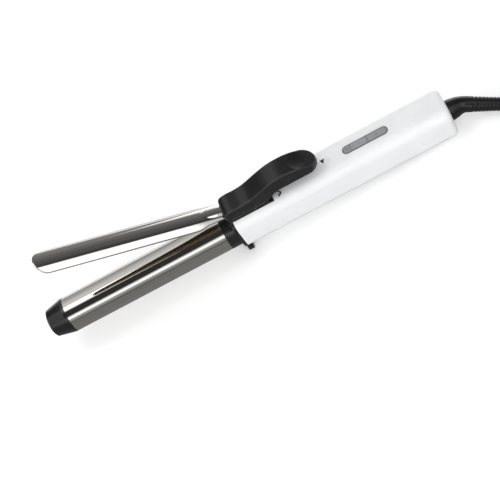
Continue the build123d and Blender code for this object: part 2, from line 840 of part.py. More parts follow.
def strain_relief():
    """A moulded boot: a round root that bends and narrows, then a ribbed taper."""
    start, way = exit_point()
    path = FilletPolyline(start, start + way * relief_straight, Vector(lead_route[0]),
                          radius=relief_bend_r)
    root, mid, end = relief_root_d / 2, relief_mid_d / 2, relief_end_d / 2
    bend_end = relief_straight + 4.5
    steps = 5
    sections = []
    for k in range(steps + 1):
        share = k / steps
        ease = share * share * (3 - 2 * share)
        plane = square_to(path, bend_end * share)
        sections.append(plane * Circle(root + (mid - root) * ease))
    boot = loft(sections)
    reach = path.length - bend_end
    base = square_to(path, bend_end).location
    boot += base * Cone(mid, end, reach, align=(Align.CENTER, Align.CENTER, Align.MIN))
    count = int((reach - 8.0) / relief_rib_pitch)
    for k in range(count):
        s = 4.0 + k * relief_rib_pitch
        r = mid + (end - mid) * s / reach
        ring = Cylinder(r + 2, relief_rib_gap) - Cylinder(r - relief_rib_depth, relief_rib_gap)
        boot -= base * Pos(0, 0, s) * ring
    return boot


def bend_radii(points):
    """The largest easy arc at each corner of a route: 0.45 of the shorter of its two runs."""
    radii = []
    for before, here, after in zip(points, points[1:], points[2:]):
        run_in, run_out = here - before, after - here
        half_turn = math.radians(run_in.get_angle(run_out) / 2)
        radii.append(0.45 * min(run_in.length, run_out.length) / math.tan(half_turn))
    return radii


def tube(name, points):
    """A cord's free stretch: straight runs joined by tangent arcs."""
    points = [Vector(*p) for p in points]
    radii = bend_radii(points)
    path = FilletPolyline(*points, radius=radii)
    solid = sweep(square_to(path, 0) * Circle(cord_r), path=path)
    drawn = math.pi * cord_r ** 2 * path.length
    print(name, "radii", [round(r, 1) for r in radii], "length", round(path.length, 1),
          "volume share", round(solid.volume / drawn, 4))
    return solid


def hank_shape(eighth):
    """Half width and height of the hank's line, before its waist is drawn in.

    The loops spiral in for a layer and out for the next, at a steady rate, and each climb to
    the next layer lies along a run, where the spiral reverses."""
    if eighth in hank_end:
        return hank_end[eighth]
    first, second = hank_climbs[:2]
    layer = second - first
    turned = layer - abs((eighth - first) % (2 * layer) - layer) if eighth else layer + 1
    climbed = sum(min(max((eighth - climb + 1) / 2, 0), 1) for climb in hank_climbs)
    return (hank_inner_r + hank_pitch * turned / 8,
            lead_route[-1][2] + hank_layer_step * climbed)


def hank_centre():
    """The lead runs straight into the hank's first run, and the loops lie to its left."""
    x, y = lead_route[-1][:2]
    return Vector(x + cord_end_straight + hank_run / 2, y + hank_shape(0)[0], 0)


def hank_station(eighth):
    """Place and heading of the hank's line at an eighth of a loop.

    Eighths 0, 1, 2 are the first run's start, waist and end, 3 is the far fold's middle,
    4, 5, 6 are the run back and 7 is the near fold's middle."""
    last = max(hank_end)
    step = eighth % 8
    side = math.radians((-90, -90, -90, 0, 90, 90, 90, 180)[step])
    shift = (-1, 0, 1, 1, 1, 0, -1, -1)[step] * hank_run / 2
    outward = Vector(math.cos(side), math.sin(side), 0)
    along = Vector(-outward.Y, outward.X, 0)
    half, height = hank_shape(eighth)
    if 0 < eighth < last:
        (half0, height0), (half1, height1) = hank_shape(eighth - 1), hank_shape(eighth + 1)
        fold = half * math.pi / 2
        reach = (0 if step in (3, 7) else hank_run / 2) + (0 if step in (1, 5) else fold)
        reach = 2 * reach if step in (1, 3, 5, 7) else reach
        climbs = eighth in hank_climbs or eighth in hank_end
        way = (along * reach + outward * (half1 - half0)
               + Vector(0, 0, height1 - height0 if climbs else 0))
    else:
        way = along
    if step in (1, 5) and eighth not in hank_end:
        half -= waist_draw
        height += waist_lift
    place = hank_centre() + Vector(shift, 0, height) + outward * half
    return place, way.normalized()


def hank_path():
    """Biarcs between stations, with a short straight run at each end."""
    stations = [hank_station(eighth) for eighth in range(max(hank_end) + 1)]
    first, way_in = stations[0]
    end, way_out = stations[-1]
    edges = [Line(first - way_in * cord_end_straight, first).edge()]
    for (p0, t0), (p1, t1) in zip(stations, stations[1:]):
        edges += biarc(p0, t0, p1, t1)
    edges.append(Line(end, end + way_out * cord_end_straight).edge())
    return Wire(edges)


def cord_hank():
    path = hank_path()
    solid = sweep(square_to(path, 0) * Circle(cord_r), path=path)
    drawn = math.pi * cord_r ** 2 * path.length
    samples = 1400
    step = path.length / samples
    points = [tuple(path @ (k / samples)) for k in range(samples + 1)]
    apart = int(3 * cord_d / step)
    least = min(math.dist(points[i], points[j])
                for i in range(samples + 1) for j in range(i + apart, samples + 1))
    print("hank length", round(path.length, 1), "volume share", round(solid.volume / drawn, 4),
          "least gap to itself", round(least - cord_d, 3))
    return solid


def cord_tie():
    """The strap round the hank's waist; the last run and the plug lie on top of it."""
    centre = hank_centre()
    near = centre.Y - hank_outer_r + waist_draw - cord_r - tie_side_fit
    far = centre.Y + hank_shape(5)[0] - waist_draw + cord_r + tie_side_fit
    bottom = lead_route[-1][2] + waist_lift - cord_r - tie_fit
    top = hank_shape(hank_climbs[-1] + 4)[1] + waist_lift + cord_r + tie_fit
    across = Plane(origin=(centre.X - tie_width / 2, 0, 0), x_dir=(0, 1, 0), z_dir=(1, 0, 0))
    middle = Pos((near + far) / 2, (bottom + top) / 2)
    wide, high = far - near, top - bottom
    inner = RectangleRounded(wide, high, tie_corner_r)
    outer = RectangleRounded(wide + 2 * tie_t, high + 2 * tie_t, tie_corner_r + tie_t)
    return extrude(across * middle * (outer - inner), amount=tie_width)


def plug_plane(distance=0.0):
    """Square to the hank's end, with the plug's width lying level."""
    end, way = hank_station(max(hank_end))
    level = Vector(-way.Y, way.X, 0)
    start = end + way * (cord_end_straight + distance)
    return Plane(origin=start, x_dir=level, z_dir=way)


def plug_body():
    full = (plug_width, plug_thickness, 4.0)
    neck = loft([
        plug_plane(0) * RectangleRounded(9.0, 8.0, 3.5),
        plug_plane(plug_neck) * RectangleRounded(*full),
    ])
    return neck + extrude(plug_plane(plug_neck) * RectangleRounded(*full),
                          amount=plug_length - plug_neck)


def plug_pins():
    parts = []
    for side in (-1, 1):
        blade = Pos(side * blade_spacing / 2, 0) * Rectangle(blade_t, blade_width)
        parts.append(extrude(plug_plane(plug_length) * blade, amount=blade_length))
    return together(parts)


def write(name, shape):
    export_step(shape, f"parts/{name}.step")


def main():
    os.makedirs("parts", exist_ok=True)
    pieces = {
        "barrel_tube": barrel_tube(),
        "cool_tip": cool_tip(),
        "tip_plug": tip_plug(),
        "heat_spreader_upper": heat_spreader(True),
        "heat_spreader_lower": heat_spreader(False),
        "ptc_heater": ptc_heater(),
        "heater_film": heater_film(),
        "heater_leads": heater_leads(),
        "temperature_sensor": temperature_sensor(),
        "barrel_holder": barrel_holder(),
        "stand_collar": stand_collar(),
        "collar_screws": collar_screws(),
        "handle_sleeve": handle_sleeve(),
        "end_cap": end_cap(),
        "chassis": chassis(),
        "hinge_pin": hinge_pin(),
        "torsion_spring": torsion_spring(),
        "clamp_plate": clamp_plate(),
        "thumb_lever": thumb_lever(),
        "lever_block": lever_block(),
        "lever_screws": lever_screws(),
        "panel_frame": panel_frame(),
        "tact_switches": tact_switches(),
        "control_board": control_board(),
        "board_screws": board_screws(),
        "power_triac": power_triac(),
        "heat_sink": heat_sink(),
        "film_capacitor": film_capacitor(),
        "thermal_fuse": thermal_fuse(),
        "status_led": status_led(),
        "status_lens": status_lens(),
        "swivel_housing": swivel_housing(),
        "contact_brushes": contact_brushes(),
        "swivel_rotor": swivel_rotor(),
        "contact_rings": contact_rings(),
    }
    for name, cell in zip(("power_button", "minus_button", "plus_button"), key_cells()):
        pieces[name] = key(*cell)
    for name, shape in pieces.items():
        write(name, stand * shape)
    write("strain_relief", strain_relief())
    write("cord_lead", tube("cord_lead", lead_route))
    write("cord_hank", cord_hank())
    write("cord_tie", cord_tie())
    write("plug_body", plug_body())
    write("plug_pins", plug_pins())
    hinge = (stand * Pos(hinge_x, 0, hinge_z)).position
    print("tilt", round(tilt, 4), "hinge", hinge, "exit", exit_point())


main()
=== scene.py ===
# %% [markdown]
# # A curling iron on its stand foot
#
# A clamp curling iron: a polished barrel, a spring clamp with a black thumb lever, a stand
# foot under the collar, a white handle with three small keys, and a mains cord that leaves
# through a swivel and is tied in a hank behind it. The solid model gives the sizes and the
# joints. This lesson dresses it: it makes the surfaces that want a finer shape, the finishes,
# the cord, the light and the camera.

# %% Load the solid model
import bpy
import bmesh
import math
import json
import mathutils
import numpy as np
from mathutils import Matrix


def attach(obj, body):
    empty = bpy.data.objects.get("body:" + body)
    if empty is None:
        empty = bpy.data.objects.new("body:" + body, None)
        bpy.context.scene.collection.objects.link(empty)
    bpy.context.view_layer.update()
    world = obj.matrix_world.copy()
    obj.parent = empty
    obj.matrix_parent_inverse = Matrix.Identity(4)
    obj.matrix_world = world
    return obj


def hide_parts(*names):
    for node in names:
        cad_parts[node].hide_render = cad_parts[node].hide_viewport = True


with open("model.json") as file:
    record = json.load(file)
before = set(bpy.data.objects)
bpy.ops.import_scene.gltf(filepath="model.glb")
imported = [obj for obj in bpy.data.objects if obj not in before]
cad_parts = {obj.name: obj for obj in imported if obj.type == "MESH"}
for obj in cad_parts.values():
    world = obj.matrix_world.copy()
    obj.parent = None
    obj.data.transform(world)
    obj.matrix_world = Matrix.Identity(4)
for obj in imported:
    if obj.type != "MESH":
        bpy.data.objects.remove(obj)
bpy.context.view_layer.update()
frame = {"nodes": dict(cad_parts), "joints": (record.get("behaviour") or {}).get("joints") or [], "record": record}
nodes = frame["nodes"]
joints = {joint["name"]: joint for joint in frame["joints"]}

# %% [markdown]
# ## The iron's own axes
#
# The iron leans on its foot and on the rear edge of its handle, so its barrel isn't level. Every
# shape on it is easier to write along the barrel: x from the collar's front face towards the
# cord, y across, z up on the clamp's side, in millimetres. The joints of the model say where
# those axes lie, so nothing has to be measured: the cord's swivel turns about the handle's own
# direction, and the hinge pin has a known place. The clamp is drawn shut and then turned open.

# %% Axes of the barrel and of the open clamp
MM = 0.001
hinge_at = np.array([33.6, 0.0, 15.0])
open_angle = math.radians(21.2)
along = np.array(joints["cord_swivel_turn"]["axis"])
tilt = math.atan2(-along[2], along[0])


def turn_y(angle):
    """The matrix that turns a point about the y axis: x goes down as the angle grows."""
    c, s = math.cos(angle), math.sin(angle)
    return np.array([[c, 0.0, s], [0.0, 1.0, 0.0], [-s, 0.0, c]])


hinge_world = np.array(joints["clamp_hinge"]["pos_m"])
origin = hinge_world - turn_y(tilt) @ hinge_at * MM
clamp_origin = hinge_world - turn_y(tilt + open_angle) @ hinge_at * MM


def placed(points, opened=False):
    """Points along the barrel in millimetres, as metres in the model's frame.

    Each point is turned by the lean, plus the opening where the piece is on the clamp, and
    moved to the place of the collar's front face."""
    angle, start = (tilt + open_angle, clamp_origin) if opened else (tilt, origin)
    return np.asarray(points, float) @ turn_y(angle).T * MM + start


def to_line(points):
    """Points in the model's frame, in millimetres, told along the barrel as placed() takes."""
    return (points - origin / MM) @ turn_y(tilt)


print("lean in degrees", round(math.degrees(tilt), 3), "collar face at", origin.round(5))

# %% [markdown]
# ## Camera
#
# The photograph looks down on the iron from its left side, at about fifty degrees, and the
# barrel runs to the lower left corner. A camera set by eye would match at one end only, so it
# was fitted to a dozen points that show in the picture, such as the corners of the key panel
# and the rims of the barrel. A long lens keeps the two ends of the iron nearly the same size.

# %% Camera
into_scene = bpy.context.scene.collection.objects.link
camera_data = bpy.data.cameras.new("camera")
camera_data.lens = 104.77
camera_data.sensor_width = 36.0
camera = bpy.data.objects.new("camera", camera_data)
camera.location = (0.17470709, -0.56982, 0.79341831)
camera.rotation_euler = [math.radians(a) for a in (28.076637, 24.563401, -20.465393)]
into_scene(camera)
bpy.context.scene.camera = camera
print("camera at", tuple(round(c, 3) for c in camera.location))

# %% [markdown]
# ## Helpers for node trees
#
# A finish is a tree of nodes. It could be drawn in the shader editor; written out, it
# can be read and made again. A few small helpers keep the trees short: one adds a node and fills
# its sockets, one makes a node group with named inputs and outputs, and others stand for a sum,
# a change of range and a blend of two colours. A group is made once and placed in as many
# finishes as need it, each with its own values.

# %% Node helpers
def add(tree, kind, inputs=None, **settings):
    """A node of that kind in the tree, with its settings and its sockets filled or linked."""
    made = tree.nodes.new(kind)
    for name, value in settings.items():
        setattr(made, name, value)
    for name, value in (inputs or {}).items():
        if isinstance(value, bpy.types.NodeSocket):
            tree.links.new(value, made.inputs[name])
        else:
            made.inputs[name].default_value = value
    return made


def new_group(title, inputs, outputs):
    """An empty node group: (its tree, the sockets that come in, the sockets that go out)."""
    tree = bpy.data.node_groups.new(title, "ShaderNodeTree")
    for name, kind, value in inputs:
        socket = tree.interface.new_socket(name, in_out="INPUT", socket_type=kind)
        if value is not None:
            socket.default_value = value
    for name, kind in outputs:
        tree.interface.new_socket(name, in_out="OUTPUT", socket_type=kind)
    return (tree, tree.nodes.new("NodeGroupInput").outputs,
            tree.nodes.new("NodeGroupOutput").inputs)


def place(tree, group, inputs):
    """The group as a node in a tree, with its inputs filled."""
    return add(tree, "ShaderNodeGroup", inputs, node_tree=group)


def math_node(tree, operation, a, b=0.0):
    """One sum or product of two values or sockets; its result socket."""
    return add(tree, "ShaderNodeMath", {0: a, 1: b}, operation=operation).outputs[0]


def spread(tree, value, low, high, new_low, new_high):
    """A value moved from one range to another and held inside it; its socket."""
    made = add(tree, "ShaderNodeMapRange", {"Value": value, "From Min": low, "From Max": high,
                                            "To Min": new_low, "To Max": new_high})
    return made.outputs["Result"]


def two_tone(tree, factor, dark, light):
    """A colour between two, by a factor that changes over the surface; its socket.

    Each of the two is a socket or three numbers."""
    ends = {name: colour if isinstance(colour, bpy.types.NodeSocket) else (*colour, 1.0)
            for name, colour in (("A", dark), ("B", light))}
    made = add(tree, "ShaderNodeMix", {"Factor": factor, **ends}, data_type="RGBA")
    return made.outputs["Result"]


# %% [markdown]
# ## Shared effects
#
# Four effects come back in many finishes. A moulded piece has a fine grain from its mould and a
# colour that isn't quite even. Polished metal shows faint lines from the polishing wheel. Both
# carry soft smears where they are touched. Dust gathers as scattered pale specks. Copied into
# every finish, an effect would have to be changed in many places, so each is a group, which
# gives out only heights, masks or tones.

# %% Grain of a moulded piece
moulded_grain, here, out = new_group(
    "moulded_grain",
    [("Vector", "NodeSocketVector", None), ("Speck mm", "NodeSocketFloat", 0.4)],
    [("Height", "NodeSocketFloat"), ("Tone", "NodeSocketFloat")])
density = math_node(moulded_grain, "DIVIDE", 1.0, here["Speck mm"])
pebble = add(moulded_grain, "ShaderNodeTexVoronoi",
             {"Vector": here["Vector"], "Scale": density}, feature="SMOOTH_F1")
fine = add(moulded_grain, "ShaderNodeTexNoise",
           {"Vector": here["Vector"], "Scale": density, "Detail": 3.0})
cloudy = add(moulded_grain, "ShaderNodeTexNoise",
             {"Vector": here["Vector"], "Scale": 0.06, "Detail": 2.0})
mixed = math_node(moulded_grain, "ADD", pebble.outputs["Distance"],
                  math_node(moulded_grain, "MULTIPLY", fine.outputs["Fac"], 0.6))
moulded_grain.links.new(mixed, out["Height"])
moulded_grain.links.new(
    spread(moulded_grain, cloudy.outputs["Fac"], 0.3, 0.7, 0.0, 1.0), out["Tone"])
print("group", moulded_grain.name)

# %% Lines of a polishing wheel
polish_lines, here, out = new_group(
    "polish_lines",
    [("Vector", "NodeSocketVector", None), ("Lines per mm", "NodeSocketFloat", 6.0)],
    [("Height", "NodeSocketFloat"), ("Streak", "NodeSocketFloat")])
lines = add(polish_lines, "ShaderNodeTexNoise",
            {"Vector": here["Vector"], "Scale": here["Lines per mm"],
             "Detail": 4.0, "Roughness": 0.6})
wide = add(polish_lines, "ShaderNodeTexNoise",
           {"Vector": here["Vector"], "Scale": 0.8, "Detail": 2.0})
polish_lines.links.new(lines.outputs["Fac"], out["Height"])
polish_lines.links.new(
    spread(polish_lines, wide.outputs["Fac"], 0.35, 0.65, 0.0, 1.0), out["Streak"])
print("group", polish_lines.name)

# %% Smears from handling, and dust
handling_smears, here, out = new_group(
    "handling_smears",
    [("Vector", "NodeSocketVector", None), ("Size mm", "NodeSocketFloat", 12.0)],
    [("Mask", "NodeSocketFloat")])
patch = add(handling_smears, "ShaderNodeTexNoise",
            {"Vector": here["Vector"],
             "Scale": math_node(handling_smears, "DIVIDE", 1.0, here["Size mm"]),
             "Detail": 5.0, "Roughness": 0.65, "Distortion": 0.8})
handling_smears.links.new(
    spread(handling_smears, patch.outputs["Fac"], 0.48, 0.72, 0.0, 1.0), out["Mask"])

dust, here, out = new_group(
    "dust",
    [("Vector", "NodeSocketVector", None), ("Amount", "NodeSocketFloat", 0.5)],
    [("Mask", "NodeSocketFloat")])
speck = add(dust, "ShaderNodeTexVoronoi",
            {"Vector": here["Vector"], "Scale": 1.4, "Randomness": 1.0})
dot = spread(dust, speck.outputs["Distance"], 0.05, 0.12, 1.0, 0.0)
where = add(dust, "ShaderNodeTexNoise",
            {"Vector": here["Vector"], "Scale": 0.35, "Detail": 2.0})
thinned = math_node(dust, "MULTIPLY", dot,
                    spread(dust, where.outputs["Fac"], 0.5, 0.65, 0.0, 1.0))
dust.links.new(math_node(dust, "MULTIPLY", thinned, here["Amount"]), out["Mask"])
print("groups", handling_smears.name, dust.name)

# %% [markdown]
# ## A finish, step by step
#
# Every finish starts the same way: a material with a Principled shader, and the object's
# coordinates turned into millimetres along the barrel. A Mapping node set to Texture undoes
# the lean, so a pattern follows the piece and not the table. Pieces on the clamp undo the
# opening as well.

# %% Start of a finish
finishes = {}


def new_material(title, **plain):
    """A new material: (itself, its tree, its Principled shader).

    Plain values go straight onto the shader's sockets, whose names have spaces for the
    underscores here."""
    material = bpy.data.materials.new(title)
    material.use_nodes = True
    shader = material.node_tree.nodes["Principled BSDF"]
    for name, value in plain.items():
        shader.inputs[name.replace("_", " ")].default_value = value
    return material, material.node_tree, shader


def finish(title, opened=False, stretch=(1.0, 1.0, 1.0), **plain):
    """A finish for the slot of that name: (its tree, its shader, the coordinates in mm).

    The stretch makes a pattern longer along an axis."""
    finishes[title], tree, shader = new_material(title + "_finish", **plain)
    coordinates = add(tree, "ShaderNodeTexCoord")
    angle, start = (tilt + open_angle, clamp_origin) if opened else (tilt, origin)
    mapping = add(tree, "ShaderNodeMapping",
                  {"Vector": coordinates.outputs["Object"], "Location": tuple(start),
                   "Rotation": (0.0, angle, 0.0), "Scale": tuple(MM * s for s in stretch)},
                  vector_type="TEXTURE")
    return tree, shader, mapping.outputs["Vector"]


def bump(tree, shader, height, depth_mm):
    """A height that changes over the surface, carried to the shader as a bump."""
    made = add(tree, "ShaderNodeBump",
               {"Height": height, "Distance": depth_mm * MM, "Strength": 1.0})
    tree.links.new(made.outputs["Normal"], shader.inputs["Normal"])


# %% [markdown]
# ## Polished metal
#
# The barrel is drawn tube, polished on a wheel and plated; the clamp is bent sheet, polished
# outside. Its inner side faces the barrel across a narrow gap and is painted a dark brown as
# shade, so that the barrel mirrors it as a dark wedge. Both are near mirrors, so most of what
# shows is the room: white table, lamps, and the dark cards beside them. What belongs to the
# metal is a warm grey colour, hair-fine wheel lines, and smears that dull the shine here and
# there. The painted shade could be a material of its own; here the inner side is known by its
# distance from the barrel's axis, so one finish serves the whole sheet.

# %% Barrel and clamp metal
clamp_inner_r, clamp_outer_r = 12.8, 13.6
# Painted shade: the clamp's inner side is blended to a dark brown, in full near the inner radius and fading out a
# little further out.
gap_shade_full, gap_shade_gone = clamp_inner_r + 0.15, clamp_inner_r + 0.35
gap_shade_brown = (0.115, 0.088, 0.064)
wheel_stretch = (40.0, 1.0, 1.0)


def polished_metal(title, opened, dark, light, rough):
    """Warm metal: streaky colour, wheel lines as a bump, smears that raise the roughness."""
    tree, shader, where = finish(title, opened, wheel_stretch, Metallic=1.0)
    lined = place(tree, polish_lines, {"Vector": where, "Lines per mm": 5.0})
    smear = place(tree, handling_smears, {"Vector": where, "Size mm": 9.0})
    colour = two_tone(tree, lined.outputs["Streak"], dark, light)
    # On the clamp, the inner side that faces the barrel is blended to a dark brown: painted shade of the gap.
    if opened:
        parts = add(tree, "ShaderNodeSeparateXYZ", {"Vector": where})
        across = math_node(tree, "POWER", parts.outputs["Y"], 2.0)
        upward = math_node(tree, "POWER", parts.outputs["Z"], 2.0)
        away = math_node(tree, "SQRT", math_node(tree, "ADD", across, upward))
        inner = spread(tree, away, gap_shade_full, gap_shade_gone, 1.0, 0.0)
        colour = two_tone(tree, inner, colour, gap_shade_brown)
    tree.links.new(colour, shader.inputs["Base Color"])
    streaky = math_node(tree, "MULTIPLY", lined.outputs["Height"], 0.03)
    dulled = math_node(tree, "MULTIPLY", smear.outputs["Mask"], 0.03)
    rough_sum = math_node(tree, "ADD", math_node(tree, "ADD", streaky, dulled), rough)
    tree.links.new(rough_sum, shader.inputs["Roughness"])
    bump(tree, shader, lined.outputs["Height"], 0.0001)


polished_metal("barrel_metal", False, (0.475, 0.46, 0.435), (0.525, 0.51, 0.485), 0.06)
polished_metal("clamp_metal", True, (0.50, 0.485, 0.465), (0.55, 0.535, 0.515), 0.035)
print("finishes", *finishes)

# %% [markdown]
# ## Black and white mouldings
#
# The cool tip, collar, foot and lever are a black heat-proof plastic with a soft, fine grain.
# The handle is a white plastic with a gentle gloss; the top face has a shallow pebble pattern
# for grip, round the keys and behind them. The grain is some hundredths of a millimetre high
# at most and the pebbles some tenths, so they are a bump and not faces. A picture of them would
# have to be unwrapped; a pattern worked out in millimetres has the right size everywhere.

# %% Moulded plastics
dust_grey = (0.35, 0.34, 0.33)


def moulding(title, dark, light, speck, depth, rough, dusty=0.0, **plain):
    """Plastic: cloudy colour, grain as a bump, smears that change the gloss a little."""
    tree, shader, where = finish(title, **plain)
    grain = place(tree, moulded_grain, {"Vector": where, "Speck mm": speck})
    smear = place(tree, handling_smears, {"Vector": where, "Size mm": 16.0})
    colour = two_tone(tree, grain.outputs["Tone"], dark, light)
    if dusty:
        specks = place(tree, dust, {"Vector": where, "Amount": dusty})
        colour = two_tone(tree, specks.outputs["Mask"], colour, dust_grey)
    tree.links.new(colour, shader.inputs["Base Color"])
    gloss = math_node(tree, "MULTIPLY", smear.outputs["Mask"], 0.08)
    tree.links.new(math_node(tree, "ADD", gloss, rough), shader.inputs["Roughness"])
    bump(tree, shader, grain.outputs["Height"], depth)


moulding("black_plastic", (0.006, 0.006, 0.007), (0.010, 0.010, 0.011), 0.35, 0.002, 0.25,
         dusty=0.06, Specular_IOR_Level=0.45)
moulding("inner_plastic", (0.10, 0.10, 0.10), (0.15, 0.15, 0.15), 0.6, 0.02, 0.5)
moulding("switch_black", (0.03, 0.03, 0.03), (0.05, 0.05, 0.05), 0.3, 0.01, 0.45)
moulding("panel_rim", (0.12, 0.123, 0.127), (0.15, 0.154, 0.158), 0.25, 0.003, 0.34)
moulding("key_grey", (0.26, 0.27, 0.28), (0.30, 0.31, 0.32), 0.25, 0.004, 0.38)
print("finishes", *finishes)

# %% White plastic with a grip pattern
grip_z, grip_side = (14.5, 16.5), (9.0, 12.0)
grip_start, grip_stop = (96.0, 104.0), (156.0, 160.0)


def white_moulding():
    """White plastic; a pebble height is let through only on the rear part of the top face.

    The mask is a product of four ramps: up in z, up and down in x, down in |y|."""
    tree, shader, where = finish("white_plastic", Coat_Weight=0.06, Coat_Roughness=0.22)
    grain = place(tree, moulded_grain, {"Vector": where, "Speck mm": 0.5})
    smear = place(tree, handling_smears, {"Vector": where, "Size mm": 20.0})
    tree.links.new(two_tone(tree, grain.outputs["Tone"], (0.83, 0.838, 0.85),
                            (0.865, 0.873, 0.88)), shader.inputs["Base Color"])
    gloss = math_node(tree, "MULTIPLY", smear.outputs["Mask"], 0.06)
    tree.links.new(math_node(tree, "ADD", gloss, 0.36), shader.inputs["Roughness"])
    parts = add(tree, "ShaderNodeSeparateXYZ", {"Vector": where})
    pebble = add(tree, "ShaderNodeTexVoronoi", {"Vector": where, "Scale": 0.45},
                 feature="SMOOTH_F1")
    on_top = spread(tree, parts.outputs["Z"], *grip_z, 0.0, 1.0)
    behind = spread(tree, parts.outputs["X"], *grip_start, 0.0, 1.0)
    before = spread(tree, parts.outputs["X"], *grip_stop, 1.0, 0.0)
    aside = math_node(tree, "ABSOLUTE", parts.outputs["Y"])
    inside = spread(tree, aside, *grip_side, 1.0, 0.0)
    patch = math_node(tree, "MULTIPLY", math_node(tree, "MULTIPLY", on_top, behind),
                      math_node(tree, "MULTIPLY", before, inside))
    pebbled = math_node(tree, "MULTIPLY", patch, pebble.outputs["Distance"])
    height = math_node(tree, "ADD", math_node(tree, "MULTIPLY", pebbled, 0.5),
                       math_node(tree, "MULTIPLY", grain.outputs["Height"], 0.008))
    bump(tree, shader, height, 1.0)


white_moulding()
print("finishes", *finishes)

# %% [markdown]
# ## The cord's rubber and the pieces inside
#
# The strain relief, the cord and the plug are one black rubbery plastic with a half gloss.
# The pieces inside the handle and barrel hardly show, but each has its own finish: bare
# aluminium, glazed ceramic, amber film, a green board, brass contacts and plated steel. Flat
# colours would do for them, but the groups are there already, so a little unevenness costs
# one line for each.

# %% Rubber
moulding("cord_rubber", (0.008, 0.008, 0.009), (0.013, 0.013, 0.014), 0.3, 0.003, 0.20,
         dusty=0.05, Specular_IOR_Level=0.30)
moulding("lead_wire", (0.66, 0.65, 0.61), (0.74, 0.73, 0.69), 0.3, 0.006, 0.5)
moulding("tie_strap", (0.035, 0.035, 0.04), (0.06, 0.06, 0.065), 0.8, 0.12, 0.7)
print("finishes", *finishes)

# %% Bare metals inside
def bare_metal(title, dark, light, stretch, rough):
    """Unpolished metal: drawn or rolled lines, colour and roughness uneven along them."""
    tree, shader, where = finish(title, False, stretch, Metallic=1.0)
    lined = place(tree, polish_lines, {"Vector": where, "Lines per mm": 3.0})
    tree.links.new(two_tone(tree, lined.outputs["Streak"], dark, light),
                   shader.inputs["Base Color"])
    uneven = math_node(tree, "MULTIPLY", lined.outputs["Height"], 0.2)
    tree.links.new(math_node(tree, "ADD", uneven, rough), shader.inputs["Roughness"])
    bump(tree, shader, lined.outputs["Height"], 0.003)


bare_metal("bare_aluminium", (0.70, 0.70, 0.71), (0.80, 0.80, 0.81), (12.0, 1.0, 1.0), 0.24)
bare_metal("steel_hardware", (0.54, 0.54, 0.55), (0.64, 0.64, 0.65), (1.0, 4.0, 4.0), 0.20)
bare_metal("brass_contact", (0.74, 0.60, 0.32), (0.84, 0.71, 0.40), (4.0, 1.0, 1.0), 0.16)
bare_metal("spring_wire", (0.03, 0.03, 0.032), (0.06, 0.06, 0.062), (4.0, 1.0, 1.0), 0.28)
print("finishes", *finishes)

# %% Small electric pieces
moulding("ceramic", (0.78, 0.76, 0.72), (0.86, 0.84, 0.80), 0.4, 0.004, 0.2)
moulding("amber_film", (0.55, 0.30, 0.07), (0.68, 0.41, 0.13), 0.8, 0.004, 0.15)
moulding("sensor_glass", (0.66, 0.57, 0.40), (0.74, 0.66, 0.50), 0.5, 0.003, 0.12)
moulding("capacitor_case", (0.68, 0.48, 0.07), (0.80, 0.61, 0.13), 0.5, 0.01, 0.3)
moulding("board", (0.03, 0.22, 0.09), (0.06, 0.32, 0.15), 1.2, 0.01, 0.35)
moulding("lens", (0.03, 0.03, 0.03), (0.06, 0.06, 0.06), 0.4, 0.002, 0.12)
print("finishes", *finishes)

# %% [markdown]
# ## Finishes onto the solid pieces
#
# The record says which material slot each node has. The nodes could be dressed one by one, but
# the finishes above carry the slots' names, so one pass over the record dresses them all.

# %% Dress the nodes
slot_of = {part["node"]: part["material_slot"] for part in frame["record"]["subparts"]}
for name, node in nodes.items():
    node.data.materials.clear()
    node.data.materials.append(finishes[slot_of[name]])
print("dressed", len(nodes), "nodes with", len(finishes), "finishes")

# %% [markdown]
# ## Pieces worked out as surfaces
#
# Some pieces want softer forms than the solid model has. They could be sculpted, but a grid of
# points keeps every size exact: rings that follow each other, each with the same number of
# points. Neighbouring rings are joined with quads, points that fall together are merged, and
# the ends are closed with a fan. A closed surface has a positive volume when its faces point
# outwards, so the sign of the volume says whether the faces have to be turned round.

# %% From a grid of points to a piece
merge_within = 2e-6


def closed_piece(title, rings, slot, body, opened=False, sharp=40.0, fans=(True, True)):
    """A piece from rings of points, an array of shape (rings, points to a ring, 3).

    The volume is the sum of a dot (b x c) / 6 over the triangles a, b, c of its faces."""
    count, size = rings.shape[:2]
    points = placed(rings.reshape(-1, 3), opened)
    ring, step = np.meshgrid(np.arange(count - 1), np.arange(size), indexing="ij")
    after = (step + 1) % size
    quads = np.stack([ring * size + step, (ring + 1) * size + step,
                      (ring + 1) * size + after, ring * size + after], axis=-1).reshape(-1, 4)
    faces, triangles = quads.tolist(), [quads[:, :3], quads[:, [0, 2, 3]]]
    for wanted, first in zip(fans, (0, (count - 1) * size)):
        if wanted:
            loop = first + np.arange(size)
            fan = np.stack([loop, np.roll(loop, -1), np.full(size, len(points))], axis=1)
            fan = fan if first == 0 else fan[:, ::-1]
            points = np.vstack([points, points[loop].mean(axis=0)])
            faces += fan.tolist()
            triangles.append(fan)
    a, b, c = (points[np.vstack(triangles)[:, k]] for k in range(3))
    volume = np.einsum("ij,ij->i", a, np.cross(b, c)).sum() / 6
    if volume < 0:
        faces = [face[::-1] for face in faces]
    mesh = bpy.data.meshes.new(title)
    mesh.from_pydata(points.tolist(), [], faces)
    work = bmesh.new()
    work.from_mesh(mesh)
    bmesh.ops.remove_doubles(work, verts=work.verts, dist=merge_within)
    bmesh.ops.dissolve_degenerate(work, edges=work.edges, dist=merge_within / 2)
    work.to_mesh(mesh)
    work.free()
    mesh.shade_smooth()
    mesh.set_sharp_from_angle(angle=math.radians(sharp))
    mesh.materials.append(finishes[slot])
    piece = bpy.data.objects.new(title, mesh)
    into_scene(piece)
    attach(piece, body)
    print(title, len(mesh.polygons), "faces, volume mm3", round(abs(volume) / MM ** 3, 2))
    return piece


def ease(x):
    """The smooth step 3x^2 - 2x^3, held between 0 and 1."""
    x = np.clip(x, 0.0, 1.0)
    return x * x * (3.0 - 2.0 * x)


